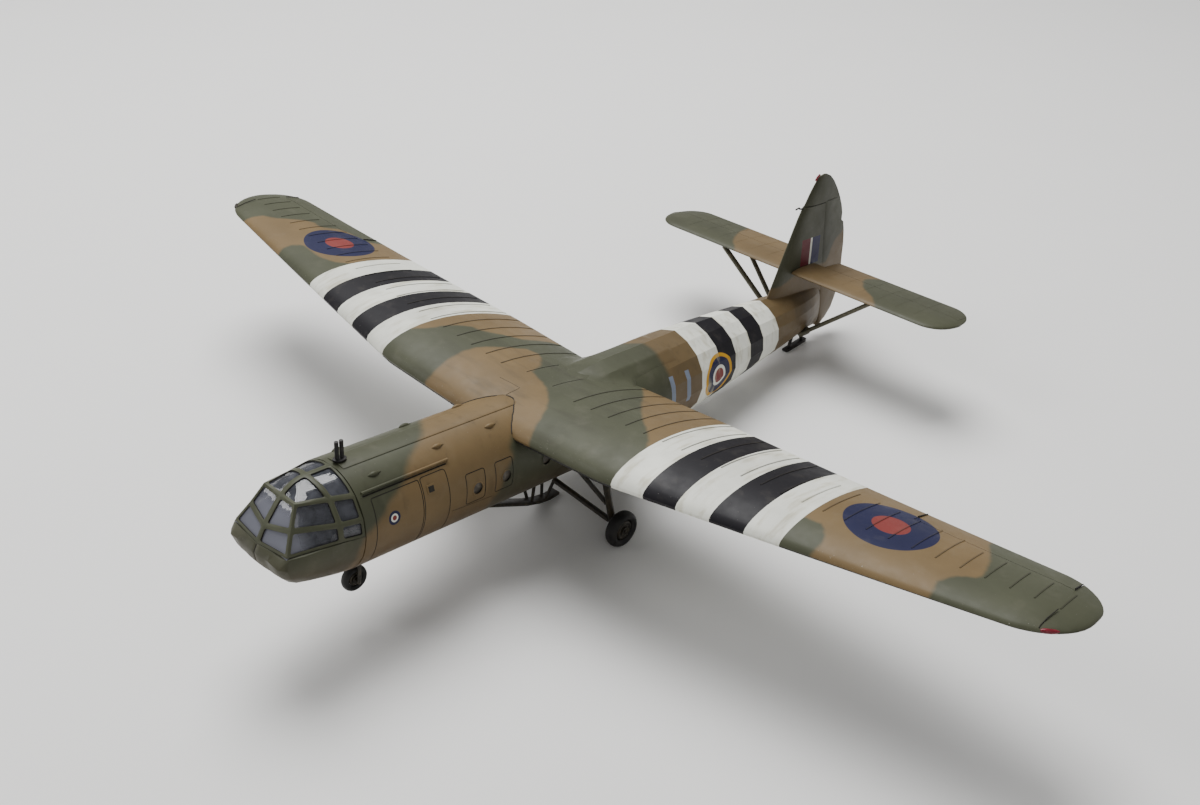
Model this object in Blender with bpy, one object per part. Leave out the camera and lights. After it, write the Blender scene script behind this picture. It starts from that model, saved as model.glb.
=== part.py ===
"""Display model of a wooden assault glider, about 1:72, one object for each moulded piece.

Shapes are written in millimetres in the aircraft's level frame: nose towards -Y, port wing
towards +X, Z up, Z = 0 at the reference line below the body. The model is then tipped back
so that it rests on its two main wheels and its tail skid, as the real model does.
"""
import math

import bpy
import bmesh
import numpy as np
from mathutils import Vector

MM = 0.001
GAP = 0.3             # between two pieces that touch
WALL = 1.2            # moulded shell thickness

# stance: nose-up angle and the wheels that set it
PITCH = math.radians(7.87)
MAIN_WHEEL = (34.2, -23.7, 3.1)
MAIN_TYRE_R = 6.3
MAIN_TYRE_W = 4.4
NOSE_WHEEL = (0.0, -105.5, 0.8)
NOSE_TYRE_R = 4.3
NOSE_TYRE_W = 3.0
HUB_SHARE = 0.56      # rim radius over tyre radius
AXLE_R = 0.6

# undercarriage
LEG_TOP = (27.2, -32.4, 36.0)
LEG_R = 1.25
LEG_INSET = 1.6       # leg centre inboard of the tyre's inner face
RADIUS_ROD = (0.02, (8.6, -30.6, 12.0), 1.0)    # (share of the leg, body end, radius)
SIDE_STRUT = (0.2, (15.4, -33.6, 25.5), 0.8)
FORK_ARM = 0.9        # prong centre outside the nose tyre
FORK_CLEAR = 1.2      # yoke above the nose tyre
SKID_PATH = [(-62.0, 8.4, 1.0), (-55.0, 6.6, 1.2), (-45.0, 3.6, 1.3), (-34.0, 0.6, 1.3), (-28.0, -0.8, 1.2),
             (-23.0, -1.3, 1.1), (-18.5, -1.1, 0.9)]
SKID_HALF = 1.7
SKID_LEGS = (((-31.5, 0.6), (-34.5, 12.0)), ((-24.6, -0.4), (-22.6, 12.0)))
TAIL_SKID = (114.6, 128.6)
TAIL_SKID_HALF = 1.1
TAIL_SKID_T = 1.5

# body: (y, half width, top z, bottom z)
BODY = [(-115.0, 16.6, 43.35, 10.15), (-90.0, 16.6, 43.35, 10.15), (-60.0, 16.6, 43.35, 10.15),
        (-30.0, 16.6, 43.35, 10.15), (-5.0, 16.6, 43.35, 10.15), (10.0, 16.6, 43.8, 10.6),
        (25.0, 16.4, 44.7, 11.9), (40.0, 15.8, 45.2, 13.6), (60.0, 14.2, 45.0, 16.6),
        (80.0, 12.4, 44.6, 19.8), (100.0, 10.5, 44.1, 22.9), (112.0, 8.9, 43.8, 24.6),
        (121.0, 6.4, 43.6, 24.6), (127.0, 4.1, 43.5, 24.4), (131.6, 2.3, 43.4, 24.2)]
BODY_FLANKS = 16      # strips on each half of the body
STERN_RAKE = 0.215    # the stern post leans forward going up
BODY_END_Y = 131.6

# glazed nose: frame crossings on the port side, rows from sill to roof
SILL = {"front": (0.0, -139.0, 27.3), "chine": (12.05, -137.9, 28.0),
        "mid": (15.2, -122.3, 28.5), "rear": (16.53, -115.3, 28.3)}
WAIST = {"front": (0.0, -136.8, 32.0), "chine": (9.3, -134.8, 34.0),
         "mid": (13.9, -122.1, 33.3), "rear": (15.3, -115.3, 33.2)}
BROW = {"front": (0.0, -131.6, 39.5), "chine": (6.9, -131.9, 40.2),
        "mid": (9.3, -122.2, 39.4), "rear": (11.2, -115.3, 39.0)}
ROOF = {"mid": (0.0, -123.5, 43.2), "rear": (0.0, -115.3, 43.35)}
FRAME_BAR = 1.6       # width of a canopy frame bar
FRAME_DEPTH = 0.9
GLASS = 0.6

# nose pan below the sill: (z, front y, chine x, chine y, mid x, mid y)
PAN = [(26.7, -139.1, 12.5, -138.1, 15.4, -122.2), (24.6, -140.0, 13.1, -138.4, 15.7, -122.0),
       (21.0, -139.1, 12.2, -136.7, 15.0, -122.0), (17.0, -135.3, 9.9, -133.3, 12.8, -121.5),
       (13.4, -129.6, 6.6, -127.7, 8.9, -120.6), (11.2, -123.8, 3.9, -122.7, 5.0, -119.0),
       (10.4, -119.4, 2.2, -118.8, 2.5, -117.2)]
BODY_R = 16.6
BODY_AXIS_Z = 26.75

# wing: the chord plane rises outboard, the trailing edge is nearly straight
WING_TE_Y = 3.4
WING_LE_Y = -55.9
WING_BREAK_X = 47.0   # inboard of this the chord is constant
WING_LE_SWEEP = 0.1736
WING_TE_SWEEP = -0.0421
WING_Z = 37.07
WING_RISE = 0.0624    # dihedral, as rise over run
WING_BOW = 0.000097   # extra rise by the square of the distance from the break
WING_THICK = (0.175, 0.11)
WING_CAMBER = (0.04, 0.028)
WING_ROOT_X = 17.3
WING_TIP_X = 164.8
WING_END_X = 179.8
WING_TIP_MID = 0.55   # share of the chord that the tip's curve closes on
WING_TIP_DROP = 0.6
AILERON_X = (123.0, 168.0)
AILERON_HINGE = 0.72

# tail
TAIL_Z = 53.8
TAIL_LE = 104.8
TAIL_TE = 132.5
TAIL_HINGE = 121.0
TAIL_ROOT_X = 2.0
TAIL_TIP_X = 59.0
TAIL_END_X = 69.0
TAIL_T = 2.5
ELEVATOR_X = (7.0, 66.8)
FIN_T = 3.6
HINGE_TOP = (121.7, 78.6)      # rudder hinge line, (y, z)
HINGE_LOW = (134.6, 24.4)
HORN_Z = 80.2
FIN_BASE_Z = 41.0
PROBE_Z = 79.4
PROBE_L = 5.2
TOP_Z = 91.8
# leading and trailing edge of fin and rudder: (z, y)
FIN_LE = [(41.0, 92.2), (45.8, 94.0), (57.9, 98.5), (63.0, 100.4), (71.5, 103.5), (75.9, 105.3), (79.4, 107.0),
          (81.7, 108.4), (84.7, 110.0), (87.2, 111.5), (89.6, 113.1), (90.8, 114.1), (91.5, 115.6), (91.8, 117.6)]
RUDDER_TE = [(23.4, 136.4), (25.6, 141.6), (29.5, 144.8), (35.0, 146.4), (42.0, 146.7), (48.7, 145.9),
             (52.9, 145.0), (58.5, 144.0), (64.1, 142.3), (68.4, 140.3), (69.6, 138.5), (72.8, 137.9),
             (76.3, 136.1), (80.2, 133.4), (84.5, 129.8), (88.0, 126.3), (90.5, 122.9), (91.8, 119.4)]
TAIL_STRUTS = (((6.4, 115.2, 27.2), (34.9, 110.0, 51.7)), ((6.4, 118.0, 27.2), (34.9, 123.6, 52.0)))
TAIL_STRUT_R = 0.85
TAIL_STRUT_PAD = 1.2

# doors on the port side: (y front, y rear, z low, z high)
FREIGHT_DOOR = (-111.2, -94.3, 15.6, 37.1)
SIDE_DOOR = (-93.7, -84.3, 17.6, 37.3)
STARBOARD_DOOR = (22.0, 32.0, 18.0, 38.0)
PORTHOLE_Y = (-73.3, -61.4, -44.0, -23.0)
PORTHOLE_Z = 28.2
PORTHOLE_R = 2.0

# cockpit
FLOOR_Z = 17.0
SEAT_X = 4.8
SEAT_W = 5.2
STICK_Y = -126.6
MAST_Y = -112.0
MAST_H = 6.3

stance = None


def clear():
    """Empties the scene."""
    for ob in list(bpy.data.objects):
        bpy.data.objects.remove(ob, do_unlink=True)


def material(name, colour, roughness=0.55, metallic=0.0, alpha=1.0):
    """A plain Principled finish."""
    mat = bpy.data.materials.get(name) or bpy.data.materials.new(name)
    mat.use_nodes = True
    shader = mat.node_tree.nodes["Principled BSDF"]
    shader.inputs["Base Color"].default_value = (*colour, 1.0)
    shader.inputs["Roughness"].default_value = roughness
    shader.inputs["Metallic"].default_value = metallic
    shader.inputs["Alpha"].default_value = alpha
    return mat


FINISH = {
    "green": ((0.072, 0.077, 0.052), 0.6, 0.0, 1.0),
    "earth": ((0.17, 0.12, 0.07), 0.6, 0.0, 1.0),
    "cockpit": ((0.13, 0.16, 0.11), 0.6, 0.0, 1.0),
    "black": ((0.018, 0.018, 0.018), 0.55, 0.0, 1.0),
    "tyre": ((0.022, 0.022, 0.024), 0.7, 0.0, 1.0),
    "clear": ((0.85, 0.88, 0.9), 0.05, 0.0, 0.3),
    "gear": ((0.085, 0.082, 0.062), 0.5, 0.1, 1.0),
}


def add_mesh(name, bm, finish, origin=(0.0, 0.0, 0.0)):
    """Turns a bmesh in millimetres into an object in metres, its origin at the given place."""
    bmesh.ops.remove_doubles(bm, verts=bm.verts, dist=1e-4)
    bmesh.ops.recalc_face_normals(bm, faces=bm.faces)
    offset = Vector(origin)
    for v in bm.verts:
        v.co = (v.co - offset) * MM
    mesh = bpy.data.meshes.new(name)
    bm.to_mesh(mesh)
    bm.free()
    mesh.materials.append(material(finish, *FINISH[finish]))
    ob = bpy.data.objects.new(name, mesh)
    bpy.context.collection.objects.link(ob)
    ob.parent = stance
    ob.location = offset * MM
    return ob


def guide(name, bm):
    """A cutting solid: shown as wire and left out of the model."""
    ob = add_mesh(name, bm, "black")
    ob.hide_render = True
    ob.display_type = "WIRE"
    return ob


def boolean(ob, other, operation="DIFFERENCE"):
    """Cuts, joins or keeps the common part with another solid."""
    mod = ob.modifiers.new(other.name, "BOOLEAN")
    mod.operation = operation
    mod.solver = "EXACT"
    mod.object = other
    return ob


def loft(rings, bm=None):
    """Skins closed rings of equal length and caps both ends."""
    bm = bm or bmesh.new()
    rows = [[bm.verts.new(p) for p in ring] for ring in rings]
    count = len(rows[0])
    for a, b in zip(rows, rows[1:]):
        for i in range(count):
            j = (i + 1) % count
            bm.faces.new((a[i], a[j], b[j], b[i]))
    bm.faces.new(rows[0])
    bm.faces.new(list(reversed(rows[-1])))
    return bm


def thick_grid(outer, inner):
    """Closes an outer and an inner grid of points into one shell with rims."""
    bm = bmesh.new()
    grids = [[[bm.verts.new(p) for p in row] for row in grid] for grid in (outer, inner)]
    rows, cols = len(outer), len(outer[0])
    for grid in grids:
        for i in range(rows - 1):
            for j in range(cols - 1):
                bm.faces.new((grid[i][j], grid[i][j + 1], grid[i + 1][j + 1], grid[i + 1][j]))
    a, b = grids
    for i in range(rows - 1):
        for j in (0, cols - 1):
            bm.faces.new((a[i][j], a[i + 1][j], b[i + 1][j], b[i][j]))
    for j in range(cols - 1):
        for i in (0, rows - 1):
            bm.faces.new((a[i][j], a[i][j + 1], b[i][j + 1], b[i][j]))
    return bm


def box(x0, x1, y0, y1, z0, z1):
    """A box between two corners."""
    ring = [(x0, y0), (x1, y0), (x1, y1), (x0, y1)]
    return loft([[(x, y, z) for x, y in ring] for z in (z0, z1)])


def tube(p, q, radius, sides=12, flat=1.0, bm=None):
    """A round bar between two points; flat squeezes it across the flight direction."""
    p, q = Vector(p), Vector(q)
    axis = (q - p).normalized()
    along = Vector((0.0, 1.0, 0.0)) if abs(axis.y) < 0.9 else Vector((1.0, 0.0, 0.0))
    across = axis.cross(along).normalized()
    along = across.cross(axis).normalized()
    rings = []
    for end in (p, q):
        ring = []
        for k in range(sides):
            a = 2 * math.pi * k / sides
            ring.append(end + along * (radius * math.cos(a)) + across * (radius * flat * math.sin(a)))
        rings.append(ring)
    return loft(rings, bm)


def turned(profile, centre, sides=32):
    """Spins a closed profile of (x along the axle, radius) about an axle along X."""
    bm = bmesh.new()
    rings = []
    for k in range(sides):
        a = 2 * math.pi * k / sides
        rings.append([bm.verts.new((centre[0] + x, centre[1] + r * math.cos(a), centre[2] + r * math.sin(a)))
                      for x, r in profile])
    n = len(profile)
    for k in range(sides):
        a, b = rings[k], rings[(k + 1) % sides]
        for i in range(n):
            j = (i + 1) % n
            bm.faces.new((a[i], a[j], b[j], b[i]))
    return bm


def airfoil(le, te, thick, camber, grow=0.0, points=14):
    """Wing section as (y, z) pairs, upper side from trailing to leading edge, then the lower side."""
    chord = te - le
    upper, lower = [], []
    for k in range(points + 1):
        u = 0.5 * (1 - math.cos(math.pi * k / points))
        t = 5 * thick * (0.2969 * math.sqrt(u) - 0.126 * u - 0.3516 * u**2 + 0.2843 * u**3 - 0.1036 * u**4)
        mean = camber * 4 * u * (1 - u)
        half = t * chord + 0.22 * u + grow
        y = le + chord * u + grow * (2 * u - 1)
        upper.append((y, mean * chord + half))
        lower.append((y, mean * chord - half))
    nose = (upper[0][0] - 0.01, 0.5 * (upper[0][1] + lower[0][1]))
    return list(reversed(upper[1:])) + [nose] + lower[1:]


def wing_edges(x):
    """Leading and trailing edge of the wing at a distance from the centre line."""
    out = max(0.0, x - WING_BREAK_X)
    le = WING_LE_Y + WING_LE_SWEEP * out
    te = WING_TE_Y + WING_TE_SWEEP * out
    if x > WING_TIP_X:
        s = (x - WING_TIP_X) / (WING_END_X - WING_TIP_X)
        keep = math.sqrt(max(0.0, 1 - s * s))
        mid = le + WING_TIP_MID * (te - le)
        le = mid + (le - mid) * (0.12 + 0.88 * keep)
        te = mid + (te - mid) * (0.12 + 0.88 * keep)
    return le, te


def wing_section(x, side=1, grow=0.0):
    """A closed ring of the wing at x."""
    le, te = wing_edges(x)
    share = min(1.0, max(0.0, (x - WING_BREAK_X) / (WING_TIP_X - WING_BREAK_X)))
    thick = WING_THICK[0] + (WING_THICK[1] - WING_THICK[0]) * share
    camber = WING_CAMBER[0] + (WING_CAMBER[1] - WING_CAMBER[0]) * share
    z = WING_Z + WING_RISE * x + WING_BOW * max(0.0, x - WING_BREAK_X)**2
    if x > WING_TIP_X:
        s = (x - WING_TIP_X) / (WING_END_X - WING_TIP_X)
        thick *= 1.0 - 0.25 * s
        z -= WING_TIP_DROP * s * s
    return [(side * x, y, z + h) for y, h in airfoil(le, te, thick, camber, grow)]


def wing_solid(x0, x1, side=1, grow=0.0):
    """The wing between two stations, with the break and the tip's curve in between."""
    tip = [WING_TIP_X + (WING_END_X - WING_TIP_X) * math.sin(math.pi / 2 * k / 6) for k in range(7)]
    stations = [x0, x1] + [x for x in [WING_BREAK_X, 85.0, 123.0] + tip if x0 < x < x1]
    return loft([wing_section(x, side, grow) for x in sorted(set(stations))])


def body_ring(y, half, top, low, grow=0.0, lip=0.5 * GAP):
    """Half a body frame on the port side, from crown to keel."""
    mid = 0.5 * (top + low)
    a = half + grow
    b = 0.5 * (top - low) + grow
    ring = []
    for k in range(BODY_FLANKS + 1):
        t = math.pi * k / BODY_FLANKS
        x = max(a * math.sin(t), lip)
        z = mid + b * math.cos(t)
        rake = -STERN_RAKE * (z - 34.0) if y >= BODY_END_Y - 5 else 0.0
        share = min(1.0, max(0.0, (y - BODY_END_Y + 5) / 5))
        ring.append((x, y + rake * share, z))
    return ring


def body_half(side):
    """One moulded half of the hollow body."""
    outer = [[(side * x, y, z) for x, y, z in body_ring(*s)] for s in BODY]
    inner = [[(side * x, y, z) for x, y, z in body_ring(*s, grow=-WALL)] for s in BODY]
    return thick_grid(outer, inner)


def body_solid(grow):
    """The whole body as one closed solid, for cutting what sits on it."""
    rings = []
    for s in BODY:
        half = body_ring(*s, grow=grow, lip=0.0)
        rings.append(half + [(-x, y, z) for x, y, z in reversed(half[1:-1])])
    return loft(rings)


def smooth_through(points, steps):
    """A curve through the points, with a few steps between each two."""
    pts = [Vector(p) for p in points]
    out = []
    for i in range(len(pts) - 1):
        p0 = pts[max(i - 1, 0)]
        p1, p2 = pts[i], pts[i + 1]
        p3 = pts[min(i + 2, len(pts) - 1)]
        for k in range(steps):
            t = k / steps
            out.append(0.5 * ((2 * p1) + (p2 - p0) * t + (2 * p0 - 5 * p1 + 4 * p2 - p3) * t * t
                              + (3 * p1 - p0 - 3 * p2 + p3) * t**3))
    out.append(pts[-1])
    return out


def pan_outline(row, grow=0.0):
    """One level of the nose pan, from the port rear edge round the front to starboard."""
    z, front, cx, cy, mx, my = row
    drop = z - BODY_AXIS_Z
    rear = math.sqrt(max(BODY_R**2 - drop**2, 0.1))
    port = [(rear, -115.3, z), (mx, my, z), (cx, cy, z), (0.45 * cx, front + 0.35, z), (0.0, front, z)]
    half = smooth_through(port, 3)
    ring = half + [Vector((-p.x, p.y, p.z)) for p in reversed(half[:-1])]
    if not grow:
        return ring
    centre = Vector((0.0, -115.3, BODY_AXIS_Z))
    out = []
    for p in ring:
        d = p - centre
        reach = d.length
        out.append(centre + d * ((reach + grow) / reach))
        if abs(p.y + 115.3) < 1e-4:
            out[-1].y = -115.3
    return out


def nose_pan():
    """The solid lower nose, hollow inside, below the glazing."""
    bm = bmesh.new()
    outer = [[bm.verts.new(p) for p in pan_outline(row)] for row in PAN]
    inner = [[bm.verts.new(p) for p in pan_outline(row, -WALL)] for row in PAN]
    for p, q in zip(inner[0], outer[0]):
        p.co.z = q.co.z
    cols = len(outer[0])
    for grid in (outer, inner):
        for a, b in zip(grid, grid[1:]):
            for j in range(cols - 1):
                bm.faces.new((a[j], a[j + 1], b[j + 1], b[j]))
        bm.faces.new(grid[-1])
    for j in range(cols - 1):
        bm.faces.new((outer[0][j], outer[0][j + 1], inner[0][j + 1], inner[0][j]))
    for i in range(len(PAN) - 1):
        for j in (0, cols - 1):
            bm.faces.new((outer[i][j], outer[i + 1][j], inner[i + 1][j], inner[i][j]))
    bm.faces.new((outer[-1][0], outer[-1][-1], inner[-1][-1], inner[-1][0]))
    return bm


def patch(side_a, side_b, steps):
    """A grid of points between two rails of equal length."""
    rows = []
    for p, q in zip(side_a, side_b):
        rows.append([Vector(p).lerp(Vector(q), k / steps) for k in range(steps + 1)])
    return rows


def roof_arc(brow, roof, steps=4):
    """An arch from the roof's centre line down to the brow frame."""
    b, r = Vector(brow), Vector(roof)
    rise = r.z - b.z
    radius = (b.x**2 + rise**2) / (2 * rise)
    turn = math.asin(b.x / radius)
    out = []
    for k in range(steps + 1):
        t = turn * k / steps
        s = k / steps
        out.append(Vector((radius * math.sin(t), r.y + (b.y - r.y) * s, r.z - radius * (1 - math.cos(t)))))
    return out


def canopy_cells():
    """The glazed cells on the port side, each as a grid of points."""
    cells = []
    for low, high in ((SILL, WAIST), (WAIST, BROW)):
        for a, b, n in (("front", "chine", 4), ("chine", "mid", 4), ("mid", "rear", 2)):
            rail_a = [Vector(low[a]).lerp(Vector(low[b]), k / n) for k in range(n + 1)]
            rail_b = [Vector(high[a]).lerp(Vector(high[b]), k / n) for k in range(n + 1)]
            cells.append(patch(rail_a, rail_b, 2))
    mid_arch = roof_arc(BROW["mid"], ROOF["mid"])
    rear_arch = roof_arc(BROW["rear"], ROOF["rear"])
    cells.append(patch(mid_arch, rear_arch, 2))
    front = [Vector(BROW["front"]).lerp(Vector(BROW["chine"]), k / 4) for k in range(5)]
    dome = patch(front, mid_arch, 4)
    for i, row in enumerate(dome):
        for j, p in enumerate(row):
            p.z += 1.1 * math.sin(math.pi * j / 4) * (1 - i / 4)
    cells.append(dome)
    return cells


def canopy_surface(inset):
    """The canopy's outer skin; with an inset, only its frame bars are kept."""
    bm = bmesh.new()
    mark = bm.faces.layers.int.new("cell")
    groups = 0
    for side in (1, -1):
        for cell in canopy_cells():
            rows = [[bm.verts.new((side * p.x, p.y, p.z)) for p in row] for row in cell]
            groups += 1
            for a, b in zip(rows, rows[1:]):
                for j in range(len(a) - 1):
                    quad = (a[j], b[j], b[j + 1], a[j + 1])
                    bm.faces.new(quad if side > 0 else tuple(reversed(quad)))[mark] = groups
    bmesh.ops.remove_doubles(bm, verts=bm.verts, dist=1e-3)
    bmesh.ops.recalc_face_normals(bm, faces=bm.faces)
    centre = Vector((0.0, -120.0, 30.0))
    bm.faces.ensure_lookup_table()
    first = bm.faces[0]
    if first.normal.dot(first.calc_center_median() - centre) < 0:
        bmesh.ops.reverse_faces(bm, faces=bm.faces)
    if inset:
        for n in range(1, groups + 1):
            faces = [f for f in bm.faces if f[mark] == n]
            ring = bmesh.ops.inset_region(bm, faces=faces, thickness=inset, use_boundary=True,
                                          use_even_offset=True)["faces"]
            for f in ring:
                f[mark] = -n
        panes = [f for f in bm.faces if f[mark] > 0]
        bmesh.ops.delete(bm, geom=panes, context="FACES")
    return bm


def canopy():
    """The frame bars and the clear shell behind them."""
    bars = canopy_surface(0.5 * FRAME_BAR)
    frame = add_mesh("canopy_frame", bars, "green")
    thicken(frame, FRAME_DEPTH)
    skin = canopy_surface(0.0)
    skin.normal_update()
    inward = {v: v.normal.copy() for v in skin.verts}
    for v, n in inward.items():
        v.co -= n * (FRAME_DEPTH + GAP)
    glass = add_mesh("canopy_glass", skin, "clear")
    thicken(glass, GLASS)


def thicken(ob, wall):
    """Gives a skin its wall, growing inwards."""
    mod = ob.modifiers.new("wall", "SOLIDIFY")
    mod.thickness = wall * MM
    mod.offset = -1.0
    mod.use_even_offset = True
    mod.use_quality_normals = True


def body():
    """Both body halves with their doors, portholes and the wing's seat."""
    seat = guide("wing_seat_guide", loft([wing_section(x, 1, GAP) for x in (0.0, 30.0)]))
    seat_b = guide("wing_seat_guide_b", loft([wing_section(x, -1, GAP) for x in (0.0, 30.0)]))
    holes = bmesh.new()
    for y in PORTHOLE_Y:
        tube((-30.0, y, PORTHOLE_Z), (30.0, y, PORTHOLE_Z), PORTHOLE_R, 16, 1.0, holes)
    holes = guide("porthole_guide", holes)
    halves = {}
    for name, side, cut in (("body_left", 1, seat), ("body_right", -1, seat_b)):
        half = add_mesh(name, body_half(side), "green")
        boolean(half, cut)
        boolean(half, holes)
        halves[side] = half
    for name, side, door in (("door_freight", 1, FREIGHT_DOOR), ("door_side", 1, SIDE_DOOR),
                             ("door_starboard", -1, STARBOARD_DOOR)):
        y0, y1, z0, z1 = door
        reach = sorted((side * 2.0, side * 30.0))
        g = 0.5 * GAP
        inner = guide(name + "_guide", box(*reach, y0 + g, y1 - g, z0 + g, z1 - g))
        outer = guide(name + "_hole_guide", box(*reach, y0 - g, y1 + g, z0 - g, z1 + g))
        panel = add_mesh(name, body_half(side), "earth")
        boolean(panel, inner, "INTERSECT")
        boolean(halves[side], outer)


def window_strips():
    """A clear strip inside each wall, behind the portholes."""
    r1 = BODY_R - WALL - GAP
    r0 = r1 - 0.7
    ends = (PORTHOLE_Y[0] - 4.0, PORTHOLE_Y[-1] + 4.0)
    lean = [math.radians(a) for a in (-10, -4, 2, 8, 14)]
    for name, side in (("window_strip_left", 1), ("window_strip_right", -1)):
        grids = []
        for r in (r1, r0):
            grids.append([[(side * r * math.cos(a), y, BODY_AXIS_Z + r * math.sin(a)) for a in lean] for y in ends])
        add_mesh(name, thick_grid(*grids), "clear")


def cockpit():
    """Floor, bulkhead, panel, seats and sticks that show through the glazing."""
    floor = [(9.0, -115.8), (8.8, -121.0), (6.6, -128.0), (-6.6, -128.0), (-8.8, -121.0), (-9.0, -115.8)]
    add_mesh("cockpit_floor", loft([[(x, y, z) for x, y in floor] for z in (FLOOR_Z - 1.0, FLOOR_Z)]), "cockpit")
    r = BODY_R - WALL - 0.5
    ring = [(r * math.sin(2 * math.pi * k / 32), BODY_AXIS_Z + r * math.cos(2 * math.pi * k / 32))
            for k in range(32)]
    wall = add_mesh("cockpit_bulkhead", loft([[(x, y, z) for x, z in ring] for y in (-114.6, -113.6)]), "cockpit")
    boolean(wall, guide("doorway_guide", box(-3.2, 3.2, -116.0, -112.0, FLOOR_Z - 2.4, FLOOR_Z + 15.0)))
    panel = [(-14.0, 21.5), (14.0, 21.5), (14.0, 25.0), (6.0, 26.3), (-6.0, 26.3), (-14.0, 25.0)]
    panel = add_mesh("instrument_panel", loft([[(x, y, z) for x, z in panel] for y in (-133.2, -132.2)]), "black")
    boolean(panel, guide("pan_room_guide", loft([pan_outline(row, -WALL - GAP) for row in PAN])), "INTERSECT")
    foot = FLOOR_Z + GAP
    seat = [(-124.4, foot), (-118.2, foot), (-116.9, 27.5), (-118.1, 27.8), (-119.4, 19.4), (-124.4, 19.0)]
    for name, side in (("left", 1), ("right", -1)):
        x = side * SEAT_X
        ends = [x - 0.5 * SEAT_W, x + 0.5 * SEAT_W]
        add_mesh("seat_" + name, loft([[(e, y, z) for y, z in seat] for e in ends]), "cockpit")
        stick = tube((x, STICK_Y - 0.7, foot), (x, STICK_Y, 22.4), 0.45, 8)
        yoke = guide("yoke_guide_" + name, tube((x - 1.5, STICK_Y, 22.6), (x + 1.5, STICK_Y, 22.6), 0.45, 8))
        boolean(add_mesh("stick_" + name, stick, "black"), yoke, "UNION")


def vent_mast():
    """Twin upright tubes on a small foot behind the canopy."""
    z = BODY_R + BODY_AXIS_Z + GAP
    foot = [(1.5 * math.cos(a), MAST_Y + 2.2 * math.sin(a)) for a in [2 * math.pi * k / 16 for k in range(16)]]
    base = add_mesh("vent_mast", loft([[(x, y, h) for x, y in foot] for h in (z, z + 0.7)]), "black")
    tubes = bmesh.new()
    for dy in (-0.85, 0.85):
        tube((0.0, MAST_Y + dy, z + 0.3), (0.0, MAST_Y + dy - 0.5, z + MAST_H), 0.62, 12, 1.0, tubes)
    boolean(base, guide("vent_tube_guide", tubes), "UNION")


def wings():
    """Centre section over the body, two outer panels and their ailerons."""
    centre = loft([wing_section(x, s) for x, s in
                   ((WING_ROOT_X - GAP, -1), (8.0, -1), (0.0, 1), (8.0, 1), (WING_ROOT_X - GAP, 1))])
    add_mesh("wing_centre", centre, "green")
    for name, side in (("left", 1), ("right", -1)):
        panel = add_mesh("wing_" + name, wing_solid(WING_ROOT_X, WING_END_X, side), "green")
        surface = add_mesh("aileron_" + name, wing_solid(WING_ROOT_X, WING_END_X, side), "green")
        for ob, g, mode in ((surface, 0.5 * GAP, "INTERSECT"), (panel, -0.5 * GAP, "DIFFERENCE")):
            boolean(ob, aileron_box(name, side, g), mode)


def aileron_box(name, side, g):
    """The block that parts an aileron from its wing; g keeps it inside the gap."""
    ring = []
    for x in (AILERON_X[0] + g, AILERON_X[1] - g):
        le, te = wing_edges(x)
        hinge = le + AILERON_HINGE * (te - le) + g
        ring.append((side * x, hinge))
    ring += [(side * (AILERON_X[1] - g), 12.0), (side * (AILERON_X[0] + g), 12.0)]
    return guide("aileron_guide_%s_%s" % (name, "in" if g > 0 else "out"),
                 loft([[(x, y, z) for x, y in ring] for z in (30.0, 60.0)]))


def flat_section(le, te, half, points=8):
    """Symmetrical tail section as (y, offset) pairs."""
    side = []
    for k in range(points + 1):
        u = 0.5 * (1 - math.cos(math.pi * k / points))
        t = 5 * (0.2969 * math.sqrt(u) - 0.126 * u - 0.3516 * u**2 + 0.2843 * u**3 - 0.1036 * u**4)
        side.append((le + (te - le) * u, 2 * half * t + 0.2 * u))
    return [(y, o) for y, o in reversed(side[1:])] + [(le, 0.0)] + [(y, -o) for y, o in side[1:]]


def tail_edges(x):
    """Leading and trailing edge of the tailplane."""
    if x <= TAIL_TIP_X:
        return TAIL_LE, TAIL_TE
    s = (x - TAIL_TIP_X) / (TAIL_END_X - TAIL_TIP_X)
    keep = 0.1 + 0.9 * math.sqrt(max(0.0, 1 - s * s))
    mid = 0.5 * (TAIL_LE + TAIL_TE)
    return mid + (TAIL_LE - mid) * keep, mid + (TAIL_TE - mid) * keep


def tailplane_solid(side):
    """One side of the tailplane, elevator included."""
    tip = [TAIL_TIP_X + (TAIL_END_X - TAIL_TIP_X) * math.sin(math.pi / 2 * k / 6) for k in range(7)]
    rings = []
    for x in [TAIL_ROOT_X, 30.0] + tip:
        le, te = tail_edges(x)
        half = 0.5 * TAIL_T * (1.0 if x <= TAIL_TIP_X else max(0.35, (te - le) / (TAIL_TE - TAIL_LE)))
        rings.append([(side * x, y, TAIL_Z + o) for y, o in flat_section(le, te, half)])
    return loft(rings)


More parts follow.
